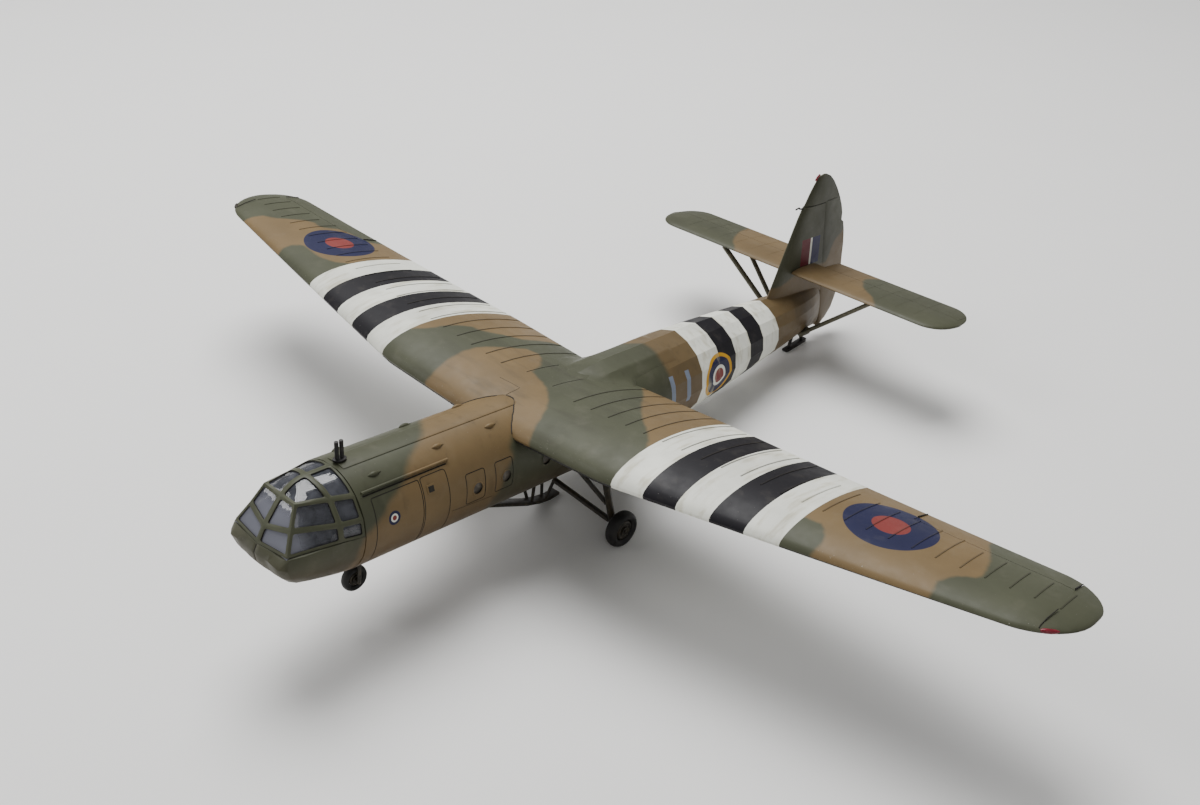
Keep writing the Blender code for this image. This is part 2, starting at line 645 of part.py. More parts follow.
def tail_unit():
    """Tailplane halves, elevators, fin, rudder and the struts below."""
    for name, side in (("left", 1), ("right", -1)):
        fixed = add_mesh("tailplane_" + name, tailplane_solid(side), "green")
        moving = add_mesh("elevator_" + name, tailplane_solid(side), "green")
        notch = guide("rudder_room_" + name, box(*sorted((0.0, side * (ELEVATOR_X[0] - 0.5 * GAP))),
                                                 TAIL_HINGE - 0.5 * GAP, 140.0, 40.0, 70.0))
        boolean(fixed, notch)
        for ob, g, mode in ((moving, 0.5 * GAP, "INTERSECT"), (fixed, -0.5 * GAP, "DIFFERENCE")):
            x0, x1 = sorted((side * (ELEVATOR_X[0] + g), side * (ELEVATOR_X[1] - g)))
            cut = guide("elevator_guide_%s_%s" % (name, "in" if g > 0 else "out"),
                        box(x0, x1, TAIL_HINGE + g, 140.0, 40.0, 70.0))
            boolean(ob, cut, mode)
        front, rear = [[(side * x, y, z) for x, y, z in ends] for ends in TAIL_STRUTS]
        pad = [(0.94 * x, y + dy, z) for (x, y, z), dy in ((front[0], -1.0), (rear[0], 1.0))]
        pair = add_mesh("tail_strut_" + name, tube(*front, TAIL_STRUT_R, 10, 0.6), "green")
        boolean(pair, guide("rear_strut_guide_" + name, tube(*rear, 0.9 * TAIL_STRUT_R, 10, 0.6)), "UNION")
        boolean(pair, guide("strut_pad_guide_" + name, tube(*pad, TAIL_STRUT_PAD, 10)), "UNION")
        boolean(pair, guide("strut_trim_" + name, body_solid(GAP)))
    fin()
    rudder()


def hinge_y(z):
    """Rudder hinge line."""
    share = (z - HINGE_LOW[1]) / (HINGE_TOP[1] - HINGE_LOW[1])
    return HINGE_LOW[0] + (HINGE_TOP[0] - HINGE_LOW[0]) * share


def edge_y(z, edge):
    """Where a fin or rudder edge lies at height z."""
    return float(np.interp(z, [p[0] for p in edge], [p[1] for p in edge]))


def blade_ring(z, front, rear, t_front, t_rear):
    """A flat-sided ring from a front edge to a rear edge."""
    f, r = 0.5 * t_front, 0.5 * t_rear
    mid = 0.5 * (front + rear)
    m = 0.5 * (f + r) + 0.1
    return [(f, front, z), (m, mid, z), (r, rear, z), (-r, rear, z), (-m, mid, z), (-f, front, z)]


def fin():
    """The fixed fin, seated on the body, with the tailplane's roots beside it."""
    rings = []
    for z in (FIN_BASE_Z, 50.0, 60.0, 70.0, HORN_Z - GAP):
        le = edge_y(z, FIN_LE)
        te = hinge_y(z) - 0.5 * GAP
        t = FIN_T * (1.0 - 0.25 * (z - FIN_BASE_Z) / 40.0)
        third = le + 0.3 * (te - le)
        rings.append([(0.0, le, z), (0.32 * t, le + 1.6, z), (0.5 * t, third, z), (0.46 * t, te, z),
                      (-0.46 * t, te, z), (-0.5 * t, third, z), (-0.32 * t, le + 1.6, z)])
    ob = add_mesh("fin", loft(rings), "green")
    boolean(ob, guide("fin_seat_guide", body_solid(GAP)))
    edge = edge_y(PROBE_Z, FIN_LE)
    probe = guide("probe_guide", tube((0.0, edge + 2.0, PROBE_Z), (0.0, edge - PROBE_L + 1.3, PROBE_Z), 0.4, 8))
    boolean(ob, probe, "UNION")


def rudder():
    """The rudder, with its balance horn reaching forward over the fin."""
    rings = []
    for z in (23.6, 27.0, 31.0, 36.0, 42.0, 48.7, 58.5, 64.1, 68.4, 69.6, 72.8, HORN_Z):
        front = hinge_y(z) + 0.5 * GAP
        t = FIN_T * (0.92 - 0.25 * max(0.0, z - FIN_BASE_Z) / 40.0)
        rings.append(blade_ring(z, front, edge_y(z, RUDDER_TE), t, 0.45))
    for z in (HORN_Z, 81.7, 84.5, 87.2, 89.6, 90.8, 91.5, TOP_Z):
        front = edge_y(z, FIN_LE)
        rear = max(edge_y(z, RUDDER_TE), front + 1.5)
        t = 2.7 * (1 - 0.75 * ((z - HORN_Z) / (TOP_Z - HORN_Z))**3)
        ring = blade_ring(z, front, rear, 0.5, 0.45)
        swell = 0.5 * t
        ring[1] = (swell, front + 0.42 * (rear - front), z)
        ring[4] = (-swell, front + 0.42 * (rear - front), z)
        rings.append(ring)
    add_mesh("rudder", loft(rings), "green")


def wheel(name, centre, radius, width, side=1):
    """A tyre and its hub, both turning about the axle along X, the hub's cap outboard."""
    w = 0.5 * width
    rim = HUB_SHARE * radius
    tyre = [(-0.62 * w, rim + 0.15)]
    for k in range(9):
        a = math.pi * (1.0 - k / 8)
        tyre.append((w * math.cos(a), 0.5 * (radius + rim) + 0.5 * (radius - rim) * math.sin(a)))
    tyre.append((0.62 * w, rim + 0.15))
    add_mesh("tyre_" + name, turned(tyre, centre), "tyre", centre)
    bore = AXLE_R + GAP
    r = rim - 0.15
    hub = [(-0.6 * w, bore), (-0.6 * w, r), (0.6 * w, r), (0.75 * w, 0.82 * r), (0.55 * w, 0.55 * r),
           (0.8 * w, 0.3 * r), (0.8 * w, bore)]
    add_mesh("hub_" + name, turned([(side * x, y) for x, y in hub], centre, 24), "gear", centre)


def main_gear():
    """Oleo legs to the wing, side struts and radius rods to the body, and the wheels."""
    for name, side in (("left", 1), ("right", -1)):
        cx, cy, cz = MAIN_WHEEL[0] * side, MAIN_WHEEL[1], MAIN_WHEEL[2]
        inboard = cx - side * (0.5 * MAIN_TYRE_W + LEG_INSET)
        foot = (inboard, cy, cz)
        top = (side * LEG_TOP[0], LEG_TOP[1], LEG_TOP[2])
        leg = tube(foot, top, LEG_R, 12)
        ob = add_mesh("main_leg_" + name, leg, "gear")
        axle = guide("axle_guide_" + name, tube((inboard + side * 0.4, cy, cz), (cx + side * 1.2, cy, cz), AXLE_R, 12))
        boolean(ob, axle, "UNION")
        boolean(ob, guide("leg_trim_" + name, wing_solid(WING_ROOT_X, 60.0, side, GAP)))
        start, end = Vector(foot), Vector(top)
        beyond = (end - start).normalized() * 3.0
        leg_room = guide("leg_room_" + name, tube(start - beyond, end, LEG_R + GAP, 12))
        body_room = guide("gear_body_room_" + name, body_solid(GAP))
        for rod_name, (share, (x, y, z), r) in (("radius_rod_", RADIUS_ROD), ("side_strut_", SIDE_STRUT)):
            rod = add_mesh(rod_name + name, tube(start.lerp(end, share), (side * x, y, z), r, 10), "gear")
            boolean(rod, leg_room)
            boolean(rod, body_room)
        wheel("main_" + name, (cx, cy, cz), MAIN_TYRE_R, MAIN_TYRE_W, side)


def nose_gear():
    """A short fork under the nose with its wheel."""
    cx, cy, cz = NOSE_WHEEL
    arm = 0.5 * NOSE_TYRE_W + FORK_ARM
    yoke_z = cz + NOSE_TYRE_R + FORK_CLEAR
    ob = add_mesh("nose_fork", tube((0.0, cy, yoke_z), (0.0, cy, 12.0), 1.1, 12), "gear")
    prongs = bmesh.new()
    tube((-arm, cy, yoke_z + 0.3), (arm, cy, yoke_z + 0.3), 0.75, 10, 1.0, prongs)
    boolean(ob, guide("yoke_bar_guide", prongs), "UNION")
    for n, s in enumerate((1, -1)):
        prong = tube((s * arm, cy, yoke_z + 0.3), (s * arm, cy, cz - 0.8), 0.6, 8)
        boolean(ob, guide("prong_guide_%d" % n, prong), "UNION")
    boolean(ob, guide("nose_axle_guide", tube((-arm, cy, cz), (arm, cy, cz), AXLE_R, 12)), "UNION")
    boolean(ob, guide("fork_trim_guide", body_solid(GAP)))
    wheel("nose", NOSE_WHEEL, NOSE_TYRE_R, NOSE_TYRE_W)


def ground_z(y):
    """Height of the ground in the level frame, once the model is tipped back."""
    drop = -MAIN_WHEEL[1] * math.sin(PITCH) + MAIN_WHEEL[2] * math.cos(PITCH) - MAIN_TYRE_R
    return (drop + y * math.sin(PITCH)) / math.cos(PITCH)


def skids():
    """The long belly skid on two pairs of legs, and the small tail skid."""
    w = SKID_HALF
    rings = [[(w, y, z), (w, y, z + t), (-w, y, z + t), (-w, y, z)] for y, z, t in SKID_PATH]
    skid = add_mesh("belly_skid", loft(rings), "gear")
    front_y, front_z, _ = SKID_PATH[0]
    shoe = box(0.3 - w, w - 0.3, front_y + 0.5, front_y + 5.0, front_z - 0.2, 12.0)
    boolean(skid, guide("skid_shoe_guide", shoe), "UNION")
    for n, (foot, head) in enumerate(SKID_LEGS):
        for s in (1, -1):
            leg = tube((s * 1.0, *foot), (s * 4.2, *head), 0.55, 8)
            boolean(skid, guide("skid_leg_guide_%d_%s" % (n, "a" if s > 0 else "b"), leg), "UNION")
    boolean(skid, guide("skid_trim_guide", body_solid(GAP)))
    y0, y1 = TAIL_SKID
    w = TAIL_SKID_HALF
    rings = []
    for y, lift in ((y0, 0.5), (y0 + 2.0, 0.0), (y1, 0.0)):
        z = ground_z(y)
        top = z + TAIL_SKID_T
        rings.append([(w, y, z + lift), (w, y, top), (-w, y, top), (-w, y, z + lift)])
    tail = add_mesh("tail_skid", loft(rings), "black")
    for n, (foot_y, head_y, r) in enumerate(((y1 - 2.0, y1 - 5.2, 0.8), (y0 + 2.9, y0 + 4.4, 0.7))):
        post = tube((0.0, foot_y, ground_z(foot_y) + 0.8), (0.0, head_y, 26.5), r, 10)
        boolean(tail, guide("tail_post_guide_%d" % n, post), "UNION")
    boolean(tail, guide("tail_trim_guide", body_solid(GAP)))


def settle():
    """Tips the model onto its wheels and tail skid, centred over the origin."""
    stance.rotation_euler = (-PITCH, 0.0, 0.0)
    bpy.context.view_layer.update()
    graph = bpy.context.evaluated_depsgraph_get()
    low, high = np.full(3, np.inf), np.full(3, -np.inf)
    for ob in bpy.data.objects:
        if ob.type != "MESH" or ob.hide_render:
            continue
        shape = ob.evaluated_get(graph)
        points = np.array([ob.matrix_world @ v.co for v in shape.data.vertices])
        low, high = np.minimum(low, points.min(axis=0)), np.maximum(high, points.max(axis=0))
    stance.location = (0.0, -0.5 * (low[1] + high[1]), -low[2])
    bpy.context.view_layer.update()


def main():
    """Builds every piece and settles the model on its wheels."""
    global stance
    clear()
    stance = bpy.data.objects.new("stance", None)
    bpy.context.collection.objects.link(stance)
    body()
    add_mesh("nose_pan", nose_pan(), "green")
    canopy()
    window_strips()
    cockpit()
    vent_mast()
    wings()
    tail_unit()
    main_gear()
    nose_gear()
    skids()
    settle()


main()
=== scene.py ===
# %% [markdown]
# # A painted display model of a wooden assault glider
# The real object is a plastic model at about 1:72: moulded parts, camouflage paint, black and
# white bands, roundels and a grey-glazed nose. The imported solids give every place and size. Here
# each visible skin is modelled again with its ribs, seams and rims, and gets painted materials.
# Pieces are drawn in millimetres in the aircraft's level frame, because the outlines are simple
# there, and are tipped back onto the wheels at the end.

# %% Load the frame
import math

import bpy
import bmesh
import numpy as np
from mathutils import Matrix, Vector


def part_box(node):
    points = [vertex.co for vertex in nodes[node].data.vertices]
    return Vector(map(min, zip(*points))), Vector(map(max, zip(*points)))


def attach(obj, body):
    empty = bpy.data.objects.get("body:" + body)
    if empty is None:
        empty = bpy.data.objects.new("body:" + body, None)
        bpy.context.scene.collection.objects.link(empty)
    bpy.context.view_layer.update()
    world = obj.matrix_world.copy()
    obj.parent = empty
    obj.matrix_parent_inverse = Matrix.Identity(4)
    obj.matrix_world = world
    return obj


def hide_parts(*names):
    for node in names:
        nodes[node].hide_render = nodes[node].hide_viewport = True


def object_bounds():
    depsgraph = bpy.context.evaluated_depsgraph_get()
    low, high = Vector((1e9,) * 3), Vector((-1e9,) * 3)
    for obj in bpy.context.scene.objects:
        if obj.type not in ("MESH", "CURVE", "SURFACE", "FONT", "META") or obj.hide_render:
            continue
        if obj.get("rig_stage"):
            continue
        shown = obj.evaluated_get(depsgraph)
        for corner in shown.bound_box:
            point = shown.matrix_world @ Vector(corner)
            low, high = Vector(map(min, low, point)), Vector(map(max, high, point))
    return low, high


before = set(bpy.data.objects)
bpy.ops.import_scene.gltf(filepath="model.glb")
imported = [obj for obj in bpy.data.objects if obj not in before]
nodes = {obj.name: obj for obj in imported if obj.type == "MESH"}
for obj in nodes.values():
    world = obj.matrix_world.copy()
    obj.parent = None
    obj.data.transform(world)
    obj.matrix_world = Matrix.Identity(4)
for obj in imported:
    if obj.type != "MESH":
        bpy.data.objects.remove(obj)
cad_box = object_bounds()
PITCH = math.radians(7.87)
STANCE = Vector((0.0, -7.9404, -0.0159))
SETTLE = Matrix.Scale(0.001, 4) @ Matrix.Translation(STANCE) @ Matrix.Rotation(-PITCH, 4, "X")
LEVEL = SETTLE.inverted()
print("frame loaded:", len(nodes), "solids")

# %% [markdown]
# ## Camera, floor and light
# The camera's place and lens were fitted to the photo, so the model is drawn where the photo has
# it: seen from above, in front of its port wing. The floor is a plain pale sheet, larger than the
# view, and three large soft lamps under a pale sky stand for a light tent.

# %% Camera
FOCAL_PIXELS, PHOTO_WIDTH, SENSOR = 1260.5, 1200, 36.0
lens = bpy.data.cameras.new("photo_camera")
lens.sensor_width = SENSOR
lens.lens = FOCAL_PIXELS / PHOTO_WIDTH * SENSOR
lens.clip_start = 0.01
camera = bpy.data.objects.new("photo_camera", lens)
bpy.context.collection.objects.link(camera)
right = Vector((0.733694, 0.679053, 0.024077))
up = Vector((-0.386773, 0.388237, 0.836468))
back = Vector((0.558659, -0.623024, 0.547487))
camera.matrix_world = (Matrix.Translation((0.243177, -0.276146, 0.26593))
                       @ Matrix((right, up, back)).transposed().to_4x4())
bpy.context.scene.camera = camera
print("camera at", [round(c, 3) for c in camera.location])


# %% Helpers that select one thing and one thing only
def alone(ob):
    """Makes ob the only selected and active object."""
    bpy.ops.object.select_all(action="DESELECT")
    ob.select_set(True)
    bpy.context.view_layer.objects.active = ob
    return ob


def edit(ob, test=None, kind="faces"):
    """Goes into edit mode with the faces or edges picked that pass a test on centre and normal."""
    alone(ob)
    bpy.ops.object.mode_set(mode="EDIT")
    bpy.ops.mesh.select_mode(type="VERT")
    bpy.ops.mesh.select_all(action="SELECT" if test is None else "DESELECT")
    if test:
        bpy.ops.mesh.select_mode(type="FACE" if kind == "faces" else "EDGE")
        mesh = bmesh.from_edit_mesh(ob.data)
        mesh.normal_update()
        for part in getattr(mesh, kind):
            if kind == "faces":
                part.select_set(bool(test(part.calc_center_median(), part.normal)))
            else:
                part.select_set(bool(test((part.verts[0].co + part.verts[1].co) / 2, part)))
        bmesh.update_edit_mesh(ob.data)


def done():
    """Leaves edit mode."""
    bpy.ops.object.mode_set(mode="OBJECT")


def start(name):
    """Names the primitive that was just added."""
    ob = bpy.context.object
    ob.name = ob.data.name = name
    return ob


# %% Floor
bpy.ops.mesh.primitive_plane_add(size=3.2, location=(0.0, 0.2, 0.0))
floor = start("studio_floor")
bpy.ops.object.transform_apply(location=True, rotation=False, scale=False)
floor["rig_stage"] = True
print("floor:", len(floor.data.polygons), "face")


# %% Lamps
def lamp(name, place, aim, size, watts):
    """A square soft lamp that looks at a point."""
    light = bpy.data.lights.new(name, "AREA")
    light.size, light.energy = size, watts
    ob = bpy.data.objects.new(name, light)
    ob.location = place
    ob.rotation_euler = (Vector(aim) - Vector(place)).to_track_quat("-Z", "Y").to_euler()
    bpy.context.collection.objects.link(ob)


lamp("soft_top", (-0.4, 0.25, 1.1), (0.0, 0.0, 0.03), 0.8, 20.5)
lamp("soft_left", (-0.7, -0.75, 0.8), (0.0, -0.1, 0.03), 0.6, 5.0)
lamp("soft_right", (0.9, -0.5, 0.7), (0.0, -0.1, 0.03), 0.5, 0.7)
SKY_STRENGTH = 0.34
world = bpy.data.worlds.new("studio")
bpy.context.scene.world = world
world.use_nodes = True
sky = world.node_tree.nodes["Background"].inputs
sky[0].default_value, sky[1].default_value = (1.0, 1.0, 1.0, 1.0), SKY_STRENGTH
print("sky strength:", SKY_STRENGTH)

# %% [markdown]
# ## Writing materials as node trees
# Every paint is made of nodes, so that it has no picture behind it. One small class keeps this
# short: it adds a node, wires or sets its inputs and gives back its output. All patterns are read
# in level millimetres, which a Mapping node makes from Object coordinates.


# %% A writer for node trees
class Paint:
    """A material whose nodes are written one after another; colour holds the coats so far."""

    def __init__(self, name, colour, roughness=0.5, **sockets):
        self.mat = bpy.data.materials.new(name)
        self.mat.use_nodes = True
        self.tree = self.mat.node_tree
        self.shader = self.tree.nodes["Principled BSDF"]
        self.shader.inputs["Roughness"].default_value = roughness
        for key, value in sockets.items():
            self.shader.inputs[key.replace("_", " ")].default_value = value
        place = self.put("TexCoord").outputs["Object"]
        self.place = self.put("Mapping", {0: place, 1: LEVEL.to_translation(), 2: (PITCH, 0.0, 0.0),
                                          3: (1000.0, 1000.0, 1000.0)}).outputs[0]
        self.x, self.y, self.z = self.put("SeparateXYZ", [self.place]).outputs[:3]
        self.colour = colour

    def put(self, kind, inputs=(), **settings):
        """Adds one node; inputs are sockets or plain values."""
        node = self.tree.nodes.new("ShaderNode" + kind)
        for key, value in settings.items():
            setattr(node, key, value)
        pairs = inputs.items() if isinstance(inputs, dict) else enumerate(inputs)
        for key, value in pairs:
            if isinstance(value, bpy.types.NodeSocket):
                self.tree.links.new(value, node.inputs[key])
            elif value is not None:
                node.inputs[key].default_value = value
        return node

    def math(self, operation, *values):
        """One sum on sockets or numbers."""
        return self.put("Math", values, operation=operation).outputs[0]

    def times(self, first, second):
        return self.math("MULTIPLY", first, second)

    def step(self, value, low, high):
        """0 below low, 1 above high, smooth between; low above high turns it round."""
        return self.put("MapRange", {0: value, 1: low, 2: high}, interpolation_type="SMOOTHSTEP").outputs[0]

    def band(self, value, low, high, soft):
        """1 between two limits."""
        rise = self.step(value, low - soft, low + soft)
        return self.times(rise, self.step(value, high + soft, high - soft))

    def noise(self, size, detail, stretch=None, roughness=0.55):
        """A cloud pattern about size millimetres across."""
        place = self.place
        if stretch:
            place = self.put("Mapping", {0: place, 3: stretch}).outputs[0]
        return self.put("TexNoise", {"Vector": place, "Scale": 1.0 / size, "Detail": detail,
                                     "Roughness": roughness}).outputs[0]

    def patches(self, size, detail, low, high, *shape):
        """The parts of a cloud pattern that rise above a level."""
        return self.step(self.noise(size, detail, *shape), low, high)

    def mark(self, name):
        """A number kept on the mesh."""
        return self.put("Attribute", attribute_name=name).outputs["Fac"]

    def blend(self, share, first, second, mode="MIX"):
        """Mixes two colours."""
        first, second = [(*c, 1.0) if isinstance(c, tuple) and len(c) == 3 else c for c in (first, second)]
        return self.put("Mix", {0: share, 6: first, 7: second}, data_type="RGBA",
                        blend_type=mode).outputs[2]

    def coat(self, tint, share, strength=None):
        """Lays a colour over the coats so far, where share is 1."""
        share = share if strength is None else self.times(share, strength)
        self.colour = self.blend(share, self.colour, tint)

    def finish(self, rough=None, height=None, strength=0.3):
        """Wires colour, roughness and bump to the shader."""
        self.tree.links.new(self.colour, self.shader.inputs["Base Color"])
        if rough is not None:
            self.tree.links.new(rough, self.shader.inputs["Roughness"])
        if height is not None:
            bump = self.put("Bump", {"Strength": strength, "Distance": 0.00005, "Height": height})
            self.tree.links.new(bump.outputs[0], self.shader.inputs["Normal"])
        return self.mat


# %% [markdown]
# ## Camouflage paint
# The model is sprayed dark green and earth brown, with soft edges. A patch of brown is an outline
# in plan view, so each skin gets a number at every corner: its distance from the nearest outline,
# plus inside and minus outside. The material turns that number into a sprayed edge. Bands and
# roundels are plain sums on the coordinates, so they stay sharp. Thin noise in several sizes adds
# fading, grime in the white and the dull sheen of varnish.
# The lower front of the body is darker and warmer as painted shade, and the rear of body, fin and tailplane
# is darker, partly painted shade and partly a darker paint.

# %% Paint colours
GREEN = (0.060, 0.063, 0.038)
EARTH = (0.155, 0.105, 0.048)
UNDER = (0.022, 0.021, 0.022)
WHITE = (0.71, 0.715, 0.64)
BAND_BLACK = (0.006, 0.005, 0.0075)
BLUE = (0.010, 0.0115, 0.046)
RED = (0.19, 0.032, 0.028)
YELLOW = (0.52, 0.27, 0.006)
CODE_GREY = (0.17, 0.20, 0.26)
# The first colour below is laid towards the tail: partly painted shade, since less light reaches the rear,
# and partly a darker paint there.
AFT_SHADE_TONE, SMUDGE, RUN = (0.020, 0.016, 0.008), (0.030, 0.026, 0.018), (0.030, 0.024, 0.014)
# LOW_SHADE is painted shade with a warm tint of bounced light, for the lower front of the body.
WASH, LOW_SHADE = (0.020, 0.017, 0.012), (0.046, 0.026, 0.010)
GRIME, CHIP, SPECK, DUST = (0.43, 0.40, 0.28), (0.42, 0.41, 0.36), (0.30, 0.29, 0.25), (0.33, 0.30, 0.24)
WING_LE, LE_SWEEP, WING_BREAK = -55.9, 0.1736, 47.0
STRIPE_FROM, STRIPE_WIDTH = 50.45, 10.53
BODY_BANDS = ((36.2, 48.0, WHITE), (48.0, 58.0, BAND_BLACK), (58.0, 68.5, WHITE), (68.5, 77.5, BAND_BLACK),
              (77.5, 89.0, WHITE))
CODE_BARS, CODE_Z = (19.6, 28.4), (26.5, 37.5)
FIN_FLASH = ((110.2, 116.2, (0.11, 0.012, 0.018)), (116.2, 117.5, WHITE),
             (117.5, 123.1, (0.008, 0.007, 0.06)))
FLASH_Z = (55.0, 66.5)
# How much each part darkens towards the tail: partly painted shade, partly a darker paint.
DARKER_AFT = {"body": 0.32, "fin": 0.32, "tail": 0.15}


# %% Discs and grime
def reach(paint, centre, axes):
    """Distance from a centre, counted on two of the level axes."""
    parts = [paint.math("POWER", paint.math("SUBTRACT", axis, c), 2.0) for axis, c in zip(axes, centre)]
    return paint.math("SQRT", paint.math("ADD", *parts))


def rings(paint, distance, steps, where=1.0, soft=0.1):
    """Paints discs of falling size, (radius, colour) pairs, where a share is 1."""
    below = paint.colour
    for radius, tint in steps:
        paint.coat(tint, paint.step(distance, radius + soft, radius - soft))
    paint.colour = paint.blend(where, below, paint.colour)


def grime(paint, white, stretch):
    """Yellowed streaks in the white."""
    paint.coat(GRIME, paint.times(white, paint.patches(2.6, 4.0, 0.46, 0.74, stretch)), 0.7)


# %% Markings of wing, body and fin
def wing_marks(paint):
    """Soot by the body, a black underside, five bands and a roundel on each side."""
    side_x = paint.math("ABSOLUTE", paint.x)
    smudge = paint.times(paint.patches(5.0, 5.0, 0.5, 0.72, (0.22, 1.0, 1.0)), paint.step(side_x, 48.0, 20.0))
    paint.coat(SMUDGE, smudge, 0.3)
    paint.coat(UNDER, paint.step(paint.mark("under"), 0.25, 0.4))
    slope = paint.math("MULTIPLY_ADD", paint.y, 0.022, side_x)
    along = paint.math("DIVIDE", paint.math("SUBTRACT", slope, STRIPE_FROM), STRIPE_WIDTH)
    inside = paint.band(along, 0.0, 5.0, 0.008)
    parity = paint.math("MODULO", paint.math("FLOOR", along), 2.0)
    paint.coat(paint.blend(parity, WHITE, BAND_BLACK), inside)
    rings(paint, reach(paint, (122.0, -19.3), (side_x, paint.y)), ((13.3, BLUE), (5.4, RED)),
          paint.step(paint.mark("under"), 0.2, 0.0))
    grime(paint, paint.times(inside, paint.math("SUBTRACT", 1.0, parity)), (1.0, 0.16, 0.5))


def body_marks(paint):
    """Bands, roundels on both sides, the small one on the freight door, and the code bars."""
    white = 0.0
    for low, high, tint in BODY_BANDS:
        share = paint.band(paint.y, low, high, 0.1)
        paint.coat(tint, share)
        if tint == WHITE:
            white = paint.math("MAXIMUM", white, share)
    wrapped = paint.times(paint.math("ABSOLUTE", paint.mark("girth")), 0.92)
    rings(paint, reach(paint, (47.0, 22.9), (paint.y, wrapped)),
          ((8.4, YELLOW), (7.0, BLUE), (4.0, WHITE), (2.8, RED)))
    rings(paint, reach(paint, (-104.9, 30.1), (paint.y, paint.z)), ((2.05, BLUE), (1.25, WHITE), (0.75, RED)),
          paint.step(paint.x, 5.0, 6.0), 0.06)
    for middle in CODE_BARS:
        paint.coat(CODE_GREY, paint.times(paint.band(paint.y, middle - 1.1, middle + 1.1, 0.07),
                                          paint.band(paint.z, *CODE_Z, 0.07)))
    grime(paint, white, (0.5, 1.0, 0.25))


def fin_marks(paint):
    """The flash of three stripes, which leans with the fin."""
    lean = paint.math("MULTIPLY_ADD", paint.z, 0.16, paint.math("SUBTRACT", paint.y, 9.6))
    for low, high, tint in FIN_FLASH:
        paint.coat(tint, paint.times(paint.band(lean, low, high, 0.1), paint.band(paint.z, *FLASH_Z, 0.1)))


# %% Camouflage with wear
def sprayed(name, part):
    """Camouflage with the markings, the wear and the painted shade of one part of the model."""
    paint = Paint(name, GREEN, Specular_IOR_Level=0.22)
    mottle = paint.noise(3.2, 4.0)
    edge = paint.math("ADD", paint.mark("brown"), paint.times(paint.math("SUBTRACT", mottle, 0.5), 1.2))
    soft = 1.5 if part == "body" else 0.8
    paint.coat(EARTH, 0.0 if part == "plain" else paint.step(edge, -soft, soft))
    # Darker towards the tail: partly painted shade, as less light reaches the rear, and partly a darker
    # paint.
    if part in DARKER_AFT:
        paint.coat(AFT_SHADE_TONE, paint.step(paint.y, 8.0, 26.0), DARKER_AFT[part])
    markings = {"wing": wing_marks, "body": body_marks, "fin": fin_marks}
    if part in markings:
        markings[part](paint)
    fade = paint.math("MULTIPLY_ADD", paint.noise(17.0, 5.0), 0.6, 0.7)
    grey = paint.put("CombineColor", [fade] * 3).outputs[0]
    paint.colour = paint.blend(1.0, paint.colour, grey, "MULTIPLY")
    if part == "wing":
        out = paint.math("MAXIMUM", paint.math("SUBTRACT", paint.math("ABSOLUTE", paint.x), WING_BREAK), 0.0)
        behind = paint.math("SUBTRACT", paint.y, paint.math("MULTIPLY_ADD", out, LE_SWEEP, WING_LE))
        chips = paint.times(paint.patches(0.9, 5.0, 0.66, 0.7, None, 0.75), paint.step(behind, 3.5, 0.8))
        paint.coat(CHIP, chips, 0.7)
    if part == "body":
        paint.coat(RUN, paint.patches(3.0, 5.0, 0.52, 0.8, (1.0, 1.0, 0.2)), 0.3)
    paint.coat(SPECK, paint.patches(0.6, 2.0, 0.74, 0.77), 0.3)
    paint.coat(WASH, paint.mark("line"), 0.72)
    if part == "body":
        # Painted shade with warm bounced light: the lower front of the body is darker and warmer.
        painted_low_shade = paint.times(paint.step(paint.z, 31.0, 13.0), paint.step(paint.y, 15.0, -5.0))
        paint.coat(LOW_SHADE, painted_low_shade, 0.75)
    paint.coat(DUST, paint.patches(6.0, 6.0, 0.52, 0.75), 0.05)
    rough = paint.math("MULTIPLY_ADD", paint.noise(4.0, 4.0), 0.28, 0.34)
    return paint.finish(rough, paint.math("MULTIPLY_ADD", paint.noise(0.35, 2.0), 0.5, mottle), 0.16)


wing_paint, body_paint, fin_paint, tail_paint = [sprayed(part + "_camouflage", part)
                                                 for part in ("wing", "body", "fin", "tail")]
print("body paint:", len(body_paint.node_tree.nodes), "nodes")


# %% Plain paints: gear, black, interior, rubber, glass
def plain_paint(name, colour, worn, roughness=0.5, patch=2.0, **sockets):
    """One colour with tonal clouds, a worn second tone and a fine grain."""
    paint = Paint(name, colour, roughness, **{"Specular_IOR_Level": 0.35, **sockets})
    paint.coat(worn, paint.patches(patch, 5.0, 0.42, 0.72))
    rough = paint.math("MULTIPLY_ADD", paint.noise(1.5, 4.0), 0.3, roughness - 0.15)
    return paint.finish(rough, paint.noise(0.4, 3.0), 0.25)


gear_paint = plain_paint("gear_paint", (0.016, 0.013, 0.008), (0.044, 0.034, 0.019), 0.45)
black_paint = plain_paint("black_paint", (0.008, 0.007, 0.007), (0.022, 0.018, 0.016))
cockpit_paint = plain_paint("cockpit_paint", (0.022, 0.027, 0.018), (0.04, 0.044, 0.03), 0.55)
tyre_paint = plain_paint("tyre_paint", (0.010, 0.0095, 0.0095), (0.028, 0.025, 0.022), 0.62, 3.0)
